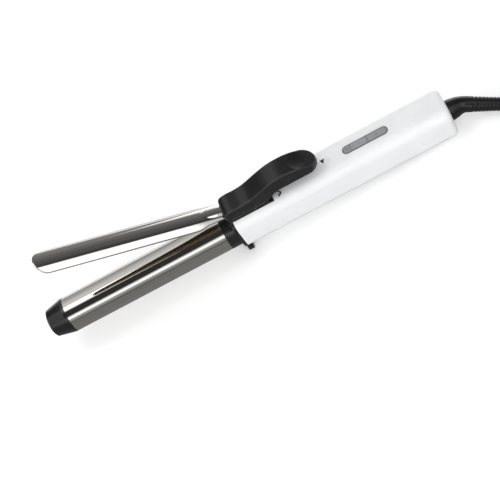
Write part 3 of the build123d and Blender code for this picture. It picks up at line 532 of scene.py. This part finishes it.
# %% [markdown]
# ## The clamp's sheet
#
# The clamp is a strip of steel, bent to the barrel's round and polished. Its tip is a half
# circle, its sides are straight, and behind the shoulders it narrows to the neck that runs
# under the lever. A pressed swelling stiffens the neck: it is the pale oval that catches the
# light in front of the lever. A real press leaves rounded edges and soft hollows, which a grid
# gives at once: the outline is one closed line, and every ring is that line drawn in towards
# the spine, first over the outer face, then round the edge, then back over the inner face.

# %% Outline of the clamp's sheet
tip_x, half_width, shoulder_x = -121.8, 9.35, -12.0
neck_x, neck_half, neck_end_half, neck_end_x = -2.5, 7.4, 6.0, 28.5
taper_length = 11.0


def clamp_outline():
    """The plan of one side, from the tip to the middle of the neck's end.

    A quarter circle, then half the width as a function of x: constant, a smooth step to the
    shoulder's end and straight lines behind it. Beside each point is the spine's nearest."""
    turn = np.linspace(0.0, math.pi / 2, 40)
    round_tip = np.stack([tip_x + half_width * (1 - np.cos(turn)), half_width * np.sin(turn)], 1)
    x = np.concatenate([np.linspace(tip_x + half_width, shoulder_x, 60)[1:],
                        np.linspace(shoulder_x, neck_x, 16)[1:],
                        np.linspace(neck_x, neck_end_x, 40)[1:]])
    ahead = ease((x - shoulder_x) / (neck_x - shoulder_x))
    behind = np.clip((x - neck_x) / taper_length, 0.0, 1.0)
    width = half_width - (half_width - neck_half) * ahead - (neck_half - neck_end_half) * behind
    across = np.linspace(neck_end_half, 0.0, 9)[1:]
    end = np.stack([np.full(8, neck_end_x), across], axis=1)
    outline = np.vstack([round_tip, np.stack([x, width], axis=1), end])
    spine_x = np.clip(outline[:, 0], tip_x + half_width, neck_end_x - neck_end_half)
    return outline, np.stack([spine_x, np.zeros(len(spine_x))], axis=1)


print("one side of the clamp has", len(clamp_outline()[0]), "points")

# %% Clamp sheet
swell_from, swell_full, swell_to, swell_half, swell_rise = -9.6, 2.0, 9.3, 4.4, 0.60
face_rings, edge_rings, edge_reach = 27, 7, 0.35


def clamp_rings():
    """Rings over the outer face, the half-round edge and the inner face of the sheet.

    A ring's plan is the outline drawn in to a share of its distance from the spine. Its height
    is sqrt(r^2 - y^2) with the radius r of that face, and the swelling is added to r. It rises
    as a straight ramp of a half-elliptic plan, with smooth steps at its sides and its end."""
    one, spine = clamp_outline()
    outline = np.vstack([one, one[-2:0:-1] * (1, -1)])
    spine = np.vstack([spine, spine[-2:0:-1]])
    way = outline - spine
    reach = np.linalg.norm(way, axis=1)
    way /= reach[:, None]
    shares = np.linspace(0.0, 1.0, face_rings)
    bend = np.linspace(0.0, math.pi, edge_rings + 2)[1:-1]
    share = np.concatenate([shares, np.ones(edge_rings), shares[::-1]])
    beyond = np.concatenate([np.zeros(face_rings), edge_reach * np.sin(bend),
                             np.zeros(face_rings)])
    middle_r, half_t = (clamp_outer_r + clamp_inner_r) / 2, (clamp_outer_r - clamp_inner_r) / 2
    radius = np.concatenate([np.full(face_rings, clamp_outer_r),
                             middle_r + half_t * np.cos(bend),
                             np.full(face_rings, clamp_inner_r)])
    out = share[:, None] * (reach - edge_reach)[None, :] + beyond[:, None]
    plan = spine[None] + way[None] * out[..., None]
    ahead = np.clip((swell_full - plan[..., 0]) / (swell_full - swell_from), 0.0, 1.0)
    half = swell_half * np.sqrt(1.0 - ahead ** 2) + 1e-6
    over = 1.0 - ease((plan[..., 0] - swell_to) / 3.0)
    swell = swell_rise * (1.0 - ahead) * ease((1.0 - np.abs(plan[..., 1]) / half) * 2.2) * over
    height = np.sqrt((radius[:, None] + swell) ** 2 - plan[..., 1] ** 2)
    return np.concatenate([plan, height[..., None]], axis=-1)


clamp_sheet = closed_piece("clamp_sheet", clamp_rings(), "clamp_metal", "clamp", opened=True,
                           fans=(False, False))
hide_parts("clamp_plate")

# %% [markdown]
# ## Key caps, their marks and the rim
#
# Three keys share one long pill. Each cap is a moulding with a soft edge and a slight dish for
# the fingertip, set on its solid key. A block could be cut and bevelled, but with the plan told
# by direction and distance the soft corner, the edge and the dish are one short formula each.
# The marks are generic: a broken ring with a bar for power, a bar for less and a cross for
# more. Each mark is a thin raised line, which is a circle carried along a path. A low bead runs
# round the pill as its rim.

# %% A circle carried along a path
def carried(path, radius, around=10):
    """Rings of a circle along a path: centre + r (cos a * side + sin a * up).

    The side is square to the path and to the z axis, and up is square to both."""
    path = np.asarray(path, float)
    way = np.gradient(path, axis=0)
    way /= np.linalg.norm(way, axis=1)[:, None]
    side = np.cross(way, (0.0, 0.0, 1.0))
    side /= np.linalg.norm(side, axis=1)[:, None]
    up = np.cross(side, way)
    a = np.linspace(0.0, 2 * math.pi, around, endpoint=False)
    radius = np.broadcast_to(np.asarray(radius, float), (len(path),))
    return path[:, None] + radius[:, None, None] * (
        np.cos(a)[None, :, None] * side[:, None] + np.sin(a)[None, :, None] * up[:, None])


# %% Key caps
pill_x0, pill_length, pill_half, rim_width = 94.8, 33.0, 3.2, 0.55
handle_top = 17.2
key_ends = {"power": (0.0, 5.8), "minus": (5.8, 18.0), "plus": (18.0, 33.0)}
key_top = handle_top + 0.35
cut_gap, side_gap, corner_power = 0.13, 0.16, 18.0
cap_edge, cap_rise, cap_dish, cap_fall = 0.28, 0.22, 0.10, 0.03


def key_cap(x0, x1):
    """A cap whose plan is the pill's share between x0 and x1, from its middle outwards.

    In the direction a, the plan reaches r(a) = (r1^-p + r2^-p)^(-1/p), a soft least of the
    distance r1 to the cut and r2 to the pill. The top dips by 1 - t^2 in the middle and falls
    in a quarter circle at the edge."""
    low, high = pill_x0 + x0 + cut_gap, pill_x0 + x1 - cut_gap
    half = pill_half - rim_width - side_gap
    start, stop = pill_x0 + pill_half, pill_x0 + pill_length - pill_half
    low, high = max(low, start - half), min(high, stop + half)
    middle = (low + high) / 2
    a = np.linspace(0.0, 2 * math.pi, 96, endpoint=False)
    c, s = np.cos(a), np.sin(a)
    to_cut = np.where(c > 0, high - middle, middle - low) / np.maximum(np.abs(c), 1e-6)
    to_side = half / np.maximum(np.abs(s), 1e-6)
    at_side = middle + to_side * c
    centre = np.where(at_side > stop, stop, start) - middle
    to_round = centre * c + np.sqrt(np.maximum(half ** 2 - (centre * s) ** 2, 0.0))
    to_pill = np.where((at_side < start) | (at_side > stop), to_round, to_side)
    reach = (to_cut ** -corner_power + to_pill ** -corner_power) ** (-1.0 / corner_power)
    t = np.linspace(0.04, 1.0, 9)
    fall = np.linspace(0.0, math.pi / 2, 6)[1:]
    out = np.concatenate([t[:, None] * (reach - cap_edge)[None],
                          (reach - cap_edge)[None] + cap_edge * np.sin(fall)[:, None]])
    z = key_top + np.concatenate([cap_rise - cap_dish * (1.0 - t ** 2),
                                  cap_rise * np.cos(fall) - cap_fall * np.sin(fall)])
    return np.stack([middle + out * c, out * s, np.broadcast_to(z[:, None], out.shape)], axis=-1)


for name, (x0, x1) in key_ends.items():
    closed_piece(name + "_key_cap", key_cap(x0, x1), "key_grey", name + "_button", sharp=60.0)

# %% Marks on the keys
mark_z, mark_r = key_top + 0.16, 0.13
ring_r, bar_half = 0.95, 0.9


def bar(x, y, half_x, half_y):
    """A straight path of a dozen points about a middle: x + k half_x, y + k half_y."""
    k = np.linspace(-1.0, 1.0, 12)
    return np.stack([x + half_x * k, y + half_y * k, np.full(12, mark_z)], axis=1)


key_middle = {"power": pill_x0 + 3.4, "minus": pill_x0 + 11.9, "plus": pill_x0 + 24.9}
ring_at = np.radians(np.linspace(125.0, 415.0, 40))
broken_ring = np.stack([key_middle["power"] + ring_r * np.sin(ring_at),
                        -ring_r * np.cos(ring_at), np.full(40, mark_z)], axis=1)
marks = [("power_ring", broken_ring, "power"),
         ("power_bar", bar(key_middle["power"] + 0.7, 0.0, 0.5, 0.0), "power"),
         ("minus_bar", bar(key_middle["minus"], 0.0, 0.0, bar_half), "minus"),
         ("plus_bar_along", bar(key_middle["plus"], 0.0, bar_half, 0.0), "plus"),
         ("plus_bar_across", bar(key_middle["plus"], 0.0, 0.0, bar_half), "plus")]
for title, path, name in marks:
    closed_piece(title, carried(path, mark_r), "panel_rim", name + "_button")

# %% Rim of the keys
bead_half, bead_middle, bead_high = 0.26, 0.24, 0.14
rim_r = pill_half - rim_width / 2
turn = np.linspace(-math.pi / 2, math.pi / 2, 25)
right = np.stack([pill_x0 + pill_length - pill_half + rim_r * np.cos(turn),
                  rim_r * np.sin(turn)], axis=1)
left = np.stack([pill_x0 + pill_half - rim_r * np.cos(turn), -rim_r * np.sin(turn)], axis=1)
round_pill = np.vstack([right, left])
outward = np.vstack([np.stack([np.cos(turn), np.sin(turn)], axis=1),
                     np.stack([-np.cos(turn), -np.sin(turn)], axis=1)])
section = np.append(np.linspace(0.0, 2 * math.pi, 12, endpoint=False), 0.0)
rim_plan = round_pill[None] + outward[None] * (bead_half * np.cos(section))[:, None, None]
rim_z = handle_top + bead_middle + bead_high * np.sin(section)
rim_z = np.broadcast_to(rim_z[:, None, None], (*rim_plan.shape[:2], 1))
rim_rings = np.concatenate([rim_plan, rim_z], axis=-1)
closed_piece("key_rim_bead", rim_rings, "panel_rim", "handle", sharp=70.0,
             fans=(False, False))

# %% [markdown]
# ## The strain relief
#
# Where the cord leaves the swivel, a moulded boot keeps it from kinking. It is smooth and thick
# at the root, bends towards the table, and then narrows in a row of soft ribs. Rings joined to
# a plain tube would show seams where it bends. So it is a circle carried along a line, an arc
# and a line, and the radius is a function of the distance along it: a smooth step, then a taper
# with grooves taken out, and a quarter round at the end.

# %% The boot's path
swivel_at = np.array(joints["cord_swivel_turn"]["pos_m"])
lead_start = np.array([197.9, -16.0, 6.8])
relief_straight, relief_bend_r = 8.9, 15.0


def relief_path(count=240):
    """Points and their distances along the boot: a line, an arc that fills the corner, a line.

    The arc starts r tan(b/2) before the corner, where b is the angle between the lines."""
    start = swivel_at / MM
    corner = start + along * relief_straight
    onward = lead_start - corner
    length = np.linalg.norm(onward)
    onward /= length
    turn = math.acos(float(np.dot(along, onward)))
    cut = relief_bend_r * math.tan(turn / 2)
    inward = onward - along * math.cos(turn)
    inward /= np.linalg.norm(inward)
    first, arc = relief_straight - cut, relief_bend_r * turn
    total = first + arc + length - cut
    s = np.linspace(0.0, total, count)
    a = np.clip((s - first) / relief_bend_r, 0.0, turn)
    before = np.minimum(s, first)[:, None] * along
    beyond = np.maximum(s - first - arc, 0.0)[:, None] * onward
    bent = relief_bend_r * (np.sin(a)[:, None] * along + (1 - np.cos(a))[:, None] * inward)
    return start + before + bent + beyond, s, total


relief_points, relief_s, relief_total = relief_path()
print("boot length mm", round(relief_total, 2))

# %% Strain relief
root_r, middle_r, end_r = 7.25, 5.3, 4.2
rib_pitch, rib_gap, rib_depth, rib_steepness = 2.4, 1.1, 0.5, 1.6
end_round, end_drop = 0.9, 0.7
bend_end = relief_straight + 4.5
ribs_from, ribs_to = bend_end + 3.4, relief_total - 2.2
taper = np.clip((relief_s - bend_end) / (relief_total - bend_end), 0.0, 1.0)
boot_r = root_r + (middle_r - root_r) * ease(relief_s / bend_end) + (end_r - middle_r) * taper
since_rib = (relief_s - ribs_from) % rib_pitch
in_groove = np.clip(1.0 - np.abs(since_rib / rib_gap * 2.0 - 1.0), 0.0, 1.0)
ribbed = (relief_s > ribs_from) & (relief_s < ribs_to)
boot_r = boot_r - rib_depth * ease(in_groove * rib_steepness) * ribbed
past = np.clip((relief_s - relief_total + end_round) / end_round, 0.0, 1.0)
boot_r = boot_r - end_drop * (1.0 - np.sqrt(1.0 - past ** 2))
boot = closed_piece("cord_boot", carried(to_line(relief_points), boot_r, 48), "cord_rubber",
                    "cord_swivel", sharp=60.0)
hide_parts("strain_relief")

# %% [markdown]
# ## The cord's route
#
# A mains cord of six millimetres leaves through the swivel, sinks to the table and is folded
# into a hank of four layers, tied round its waist, with the plug on top. A real cord falls as
# it likes, and a simulation could lay it, but a tied hank has a rule that can be written down:
# sixteen points to a loop, four on each fold and four on each run. The lead's points are chosen
# one by one. A fold's points stand a little outside the fold, because a spline of the third
# order passes through the middle of each side of the figure that its points make.

# %% The cord's route
lead = np.array([lead_start, (209.06, -22.12, 4.2), (224.0, -28.6, 3.05),
                 (239.0, -28.6, 3.05)])
end_straight, hank_run, inner_r, pitch, layer_step = 6.0, 50.0, 18.0, 6.7, 6.5
climbs, last_eighth, waist_draw, waist_lift = (13, 25, 37), 52, 3.5, 1.2
tie_crossed = 46.5
over_tie = np.array([(46, 19.68, 22.55), (47, 26.4, 24.0), (48, 26.0, 26.8), (49, 22.0, 31.7),
                     (50, 22.0, 32.4), (51, 20.0, 33.0), (52, 18.0, 34.1)])


def loop_radius(t):
    """Half the width of the hank at t eighths of a loop: a steady zigzag between two radii.

    Behind the tie it follows the second column of over_tie."""
    turned = 12.0 - np.abs((t - climbs[0]) % 24.0 - 12.0)
    steady = inner_r + pitch * np.where(t < 1.0, climbs[0] - t, turned) / 8.0
    return np.where(t > tie_crossed, np.interp(t, over_tie[:, 0], over_tie[:, 1]), steady)


def loop_height(t):
    """Height of the cord's middle: one step up at each climb, then over the tie at the end."""
    up = sum(np.clip((t - climb + 1.0) / 2.0, 0.0, 1.0) for climb in climbs)
    return np.where(t > tie_crossed, np.interp(t, over_tie[:, 0], over_tie[:, 2]),
                    lead[-1, 2] + layer_step * up)


# %% The hank's loops
def hank_points():
    """Points of the hank's loops, in millimetres, and the middle of the hank.

    t counts eighths of a loop. On a run the point moves straight along x at the loop's
    radius to one side, drawn in near the waist. On a fold it goes half round a circle of
    that radius over the cosine of a quarter of a right angle."""
    loop = np.array([0.38, 0.76, 1.24, 1.62, 2.25, 2.75, 3.25, 3.75])
    t = (loop[None, :] + 4.0 * np.arange(last_eighth // 4)[:, None]).ravel()
    radius, height = loop_radius(t), loop_height(t)
    phase = t % 8.0
    side = np.where(phase < 4.0, -1.0, 1.0)
    step = phase % 4.0
    tied = (np.abs(step - 1.0) < 0.3) & (t < tie_crossed)
    run_x = -side * (step - 1.0) * hank_run / 2
    run_y = side * (radius - np.where(tied, waist_draw, 0.0))
    angle = np.radians(np.where(side < 0, -90.0, 90.0) + 90.0 * (step - 2.0))
    wide = radius / math.cos(math.pi / 8)
    fold_x = -side * hank_run / 2 + wide * np.cos(angle)
    fold_y = wide * np.sin(angle)
    on_run = step < 2.0
    middle = np.array([lead[-1, 0] + end_straight + hank_run / 2,
                       lead[-1, 1] + loop_radius(np.array(0.0)), 0.0])
    points = np.stack([np.where(on_run, run_x, fold_x), np.where(on_run, run_y, fold_y),
                       height + np.where(tied, waist_lift, 0.0)], axis=1)
    return points + middle, middle


# %% The hank and the whole route
loops, hank_middle = hank_points()
cord_end = hank_middle + (hank_run / 2 - end_straight, over_tie[-1, 1], over_tie[-1, 2])
inside_relief = np.array([swivel_at / MM, swivel_at / MM + along * relief_straight])
route = np.vstack([inside_relief, lead, loops, cord_end[None]]) * MM
print("cord points", len(route), "hank middle", hank_middle.round(1))

# %% [markdown]
# ## The plug
#
# The plug is one moulding round the cord's end. It grows from the cord's round to a rounded
# block, is drawn in at the middle for the fingers, and has grooves across its sides for grip. A
# bevelled block would need its neck joined on; rings whose section turns from a circle into a
# superellipse give the whole form in one sweep.

# %% Plug
neck_half_w, neck_half_t, plug_neck = 4.5, 4.0, 10.0
plug_width, plug_thickness, plug_length, face_round = 22.0, 12.0, 30.0, 1.6
dip_from, dip_length, dip_w, dip_t = 11.0, 15.0, 1.2, 0.5
groove_from, groove_to, groove_pitch, groove_depth = 13.0, 25.0, 2.4, 0.35


def plug_rings():
    """Rings of a superellipse: w cos^(2/n) a across and t sin^(2/n) a up, along -x.

    w and t grow over the neck in a smooth step, dip for the fingers as a squared sine, and draw
    in over a quarter circle at the face. The grooves take a raised cosine out of w. The
    exponent n grows from 2, a circle, to 4."""
    straight = plug_length - face_round
    d = np.concatenate([np.linspace(0.0, straight, 70),
                        straight + face_round * np.sin(np.linspace(0.0, math.pi / 2, 9)[1:])])
    grow = ease(d / plug_neck)
    dip = np.sin(math.pi * np.clip((d - dip_from) / dip_length, 0.0, 1.0)) ** 2
    ridge = 0.5 - 0.5 * np.cos(2 * math.pi * (d - groove_from) / groove_pitch)
    grooves = groove_depth * ridge * ((d > groove_from) & (d < groove_to))
    last = np.clip((d - straight) / face_round, 0.0, 1.0)
    draw_in = face_round * (1.0 - np.sqrt(1.0 - last ** 2 + 1e-9))
    half_w = neck_half_w + (plug_width / 2 - neck_half_w) * grow
    half_t = neck_half_t + (plug_thickness / 2 - neck_half_t) * grow
    half_w, half_t = half_w - dip_w * dip - grooves - draw_in, half_t - dip_t * dip - draw_in
    power = 1.0 / (1.0 + grow)
    a = np.linspace(0.0, 2 * math.pi, 72, endpoint=False)
    c, sn = np.cos(a)[None], np.sin(a)[None]
    across = half_w[:, None] * np.sign(c) * np.abs(c) ** power[:, None]
    up = half_t[:, None] * np.sign(sn) * np.abs(sn) ** power[:, None]
    back = np.broadcast_to(-d[:, None], across.shape)
    return cord_end + np.stack([back, across, up], axis=-1)


plug = closed_piece("mains_plug", to_line(plug_rings()), "cord_rubber", "cord_swivel",
                    sharp=50.0)
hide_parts("plug_body")

# %% [markdown]
# ## The cord as a spline
#
# The route's points become one spline of the third order with a round bevel. It could be a tube
# of faces, but a spline stays one line: it can be laid in another way later, and its length can
# be measured.

# %% Cord
cord_curve = bpy.data.curves.new("mains_cord", "CURVE")
cord_curve.dimensions = "3D"
cord_curve.bevel_depth = 0.003
cord_curve.bevel_resolution = 5
cord_curve.resolution_u = 6
cord_curve.use_fill_caps = True
line = cord_curve.splines.new("NURBS")
line.points.add(len(route) - 1)
line.points.foreach_set("co", np.column_stack([route, np.ones(len(route))]).ravel())
line.order_u = 3
line.use_endpoint_u = True
cord_curve.materials.append(finishes["cord_rubber"])
cord = bpy.data.objects.new("mains_cord", cord_curve)
into_scene(cord)
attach(cord, "cord_swivel")
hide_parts("cord_lead", "cord_hank")
print("cord", cord.name, "with", len(line.points), "points")

# %% [markdown]
# ## The table
#
# The photograph has a plain white ground. A white picture behind the iron would leave it
# floating, so a broad table of matt card takes its shadow. For the light that bounces off it
# the card is a pale grey, so that it doesn't flood the iron; to the camera and to mirrors it is
# white. The Light Path node tells these rays apart. A little light of its own, stronger with
# the distance, keeps the card white where the lamps don't reach.

# %% Helpers for the table and the cards
def seen_ray(tree):
    """1 for a ray of the camera, of a mirror or of glass, 0 for light that bounces; a socket.

    It is the largest of the three marks of the Light Path node."""
    ray = add(tree, "ShaderNodeLightPath").outputs
    mirrored = math_node(tree, "MAXIMUM", ray["Is Glossy Ray"], ray["Is Transmission Ray"])
    return math_node(tree, "MAXIMUM", ray["Is Camera Ray"], mirrored)


def grey(tree, value):
    """A grey of that value as a colour; its socket."""
    made = add(tree, "ShaderNodeCombineColor", {"Red": value, "Green": value, "Blue": value})
    return made.outputs["Color"]


def flat_sheet(title, wide, high):
    """A mesh of one face, from -wide to wide and from -high to high."""
    mesh = bpy.data.meshes.new(title)
    mesh.from_pydata([(-wide, -high, 0), (wide, -high, 0), (wide, high, 0), (-wide, high, 0)],
                     [], [(0, 1, 2, 3)])
    return mesh


# %% Table
table_half = 3.0
table_mesh = flat_sheet("table", table_half, table_half)
table = bpy.data.objects.new("table", table_mesh)
table.location = (0.0, 0.0, -0.0002)
into_scene(table)
card, tree, card_shader = new_material("card", Roughness=0.9, Specular_IOR_Level=0.1,
                                       Emission_Strength=1.0)
seen = seen_ray(tree)
fibre = add(tree, "ShaderNodeTexNoise", {"Scale": 90.0, "Detail": 3.0})
fibre_tone = spread(tree, fibre.outputs["Fac"], 0.3, 0.7, 0.985, 1.0)
card_tone = math_node(tree, "MULTIPLY", fibre_tone, spread(tree, seen, 0.0, 1.0, 0.62, 1.0))
tree.links.new(card_tone, card_shader.inputs["Base Color"])
spot = add(tree, "ShaderNodeTexCoord").outputs["Object"]
distance = add(tree, "ShaderNodeVectorMath", {0: spot}, operation="LENGTH").outputs["Value"]
lift = math_node(tree, "MULTIPLY", seen, spread(tree, distance, 0.30, 1.3, 0.20, 0.7))
tree.links.new(grey(tree, lift), card_shader.inputs["Emission Color"])
table_mesh.materials.append(card)
print("table", 2 * table_half, "m wide")

# %% [markdown]
# ## Sky and lamps
#
# Polished metal is lit with large soft boxes, because it shows the lamps themselves. Three
# boxes are seen in it as bright bands: one in front, one on the right, one above. Stronger ones
# would wash the bands out, so three more lamps that reflections don't see give the white handle
# its light. The sky, like the table, is dimmer for the light that bounces than for the eye.

# %% Sky
world = bpy.data.worlds.new("room")
world.use_nodes = True
bpy.context.scene.world = world
tree = world.node_tree
background = tree.nodes["Background"]
tree.links.new(spread(tree, seen_ray(tree), 0.0, 1.0, 0.55, 1.0),
               background.inputs["Strength"])
background.inputs["Color"].default_value = (1.0, 1.0, 1.0, 1.0)
bpy.context.scene.view_settings.view_transform = "Standard"
print("sky", world.name)


# %% Lamps
def aimed(thing, at, aim, long_way):
    """Move a lamp or a card to a place, its own -z towards the aim and its x along long_way.

    The three axes are the way back from the aim, the long way made square to it, and the
    product of the two."""
    back = np.array(at, float) - np.array(aim, float)
    back /= np.linalg.norm(back)
    side = np.array(long_way, float) - back * np.dot(long_way, back)
    side /= np.linalg.norm(side)
    axes = np.column_stack([side, np.cross(back, side), back])
    thing.rotation_euler = mathutils.Matrix(axes.tolist()).to_euler()
    thing.location = at
    into_scene(thing)


def softbox(title, at, aim, long_way, size, power):
    """A soft rectangular lamp that faces a point."""
    data = bpy.data.lights.new(title, "AREA")
    data.shape = "RECTANGLE"
    data.size, data.size_y = size
    data.energy = power
    lamp = bpy.data.objects.new(title, data)
    aimed(lamp, at, aim, long_way)
    print(title, "brightness", round(power / (math.pi * size[0] * size[1]), 2))
    return lamp


on_the_right = (0.377, -0.565, 0.844), (-0.05, 0.0, 0.05), (0.2, 0.71, 0.42), (0.85, 0.28)
lamps = [
    ("strip_front", (-0.25, -1.00, 0.66), (-0.05, 0.0, 0.04), (1, 0, 0), (1.30, 0.20), 1.4),
    ("box_right", *on_the_right, 0.80),
    ("fill_right", *on_the_right, 1.5),
    ("box_above", (-0.28, 0.14, 1.15), (-0.05, 0.0, 0.04), (1, 0, 0), (0.60, 0.42), 2.2),
    ("fill_front", (0.05, -1.25, 0.30), (0.05, 0.0, 0.02), (1, 0, 0), (1.5, 0.5), 6.4),
    ("fill_back", (0.10, 1.20, 0.45), (0.05, 0.0, 0.02), (1, 0, 0), (1.5, 0.5), 4.2)]
for title, *rest in lamps:
    softbox(title, *rest).visible_glossy = not title.startswith("fill")

# %% [markdown]
# ## Cards for the metal to reflect
#
# A mirror in a white room is white. The photograph's metal has dark and graded bands, and they
# come from dark cards beside the iron. A picture of a studio could light the scene instead, but
# then each band couldn't be moved by itself. Each card is a flat sheet that glows in an even
# run from one tone to another; only reflections see it, so it neither lights nor shades
# anything. Their places were found by following the photograph's bands from the camera over
# the metal into the room.

# %% Cards that only reflections see
def card_for_shine(title, at, aim, long_way, size, tones):
    """A flat card that shows in reflections alone; its tone runs evenly between two values.

    The tone is a + (b - a) (x / w + 1/2), with x along the card's own length w."""
    mesh = flat_sheet(title, size[0] / 2, size[1] / 2)
    paper, tree, shader = new_material(title, Base_Color=(0.0, 0.0, 0.0, 1.0),
                                       Specular_IOR_Level=0.0, Emission_Strength=1.0)
    where = add(tree, "ShaderNodeSeparateXYZ",
                {"Vector": add(tree, "ShaderNodeTexCoord").outputs["Object"]})
    tone = spread(tree, where.outputs["X"], -size[0] / 2, size[0] / 2, *tones)
    tree.links.new(grey(tree, tone), shader.inputs["Emission Color"])
    mesh.materials.append(paper)
    sheet = bpy.data.objects.new(title, mesh)
    for kind in ("camera", "diffuse", "transmission", "volume_scatter", "shadow"):
        setattr(sheet, "visible_" + kind, False)
    aimed(sheet, at, aim, long_way)


down, across, up = (0, 0, -1), (1, 0, 0), (0, 0, 1)
cards = {
    "card_back_left": ((-0.285, 0.80, 0.55), (-0.285, 0.0, 0.05), down, (1.2, 0.39),
                       (1.20, 0.34)),
    "card_back_dark": ((-1.04, 0.80, 0.55), (-1.04, 0.0, 0.05), down, (1.2, 1.12), (0.10, 0.16)),
    "card_back_right": ((0.555, 0.80, 0.55), (0.555, 0.0, 0.05), down, (1.2, 1.29),
                        (0.14, 0.42)),
    "card_back_edge": ((0.50, 0.964, 0.269), (0.50, 0.116, -0.261), down, (0.55, 0.60),
                       (0.28, 4.00)),
    "card_top": ((0.75, 0.25, 1.05), (-0.05, 0.0, 0.05), (0, 1, 0), (0.9, 0.8), (0.05, 0.20)),
    "card_camera": ((-0.27, -0.50, 0.98), (-0.05, 0.0, 0.04), across, (0.7, 0.66), (0.05, 0.05)),
    "card_front": ((0.0, -0.95, 0.18), (0.0, 0.0, 0.10), up, (0.40, 2.4), (0.10, 0.62)),
    "card_low": ((0.0, -0.47, 0.0005), (0.0, -0.47, -1.0), across, (1.6, 0.98), (0.30, 0.30))}
for title, setting in cards.items():
    card_for_shine(title, *setting)
print("cards", len(cards))
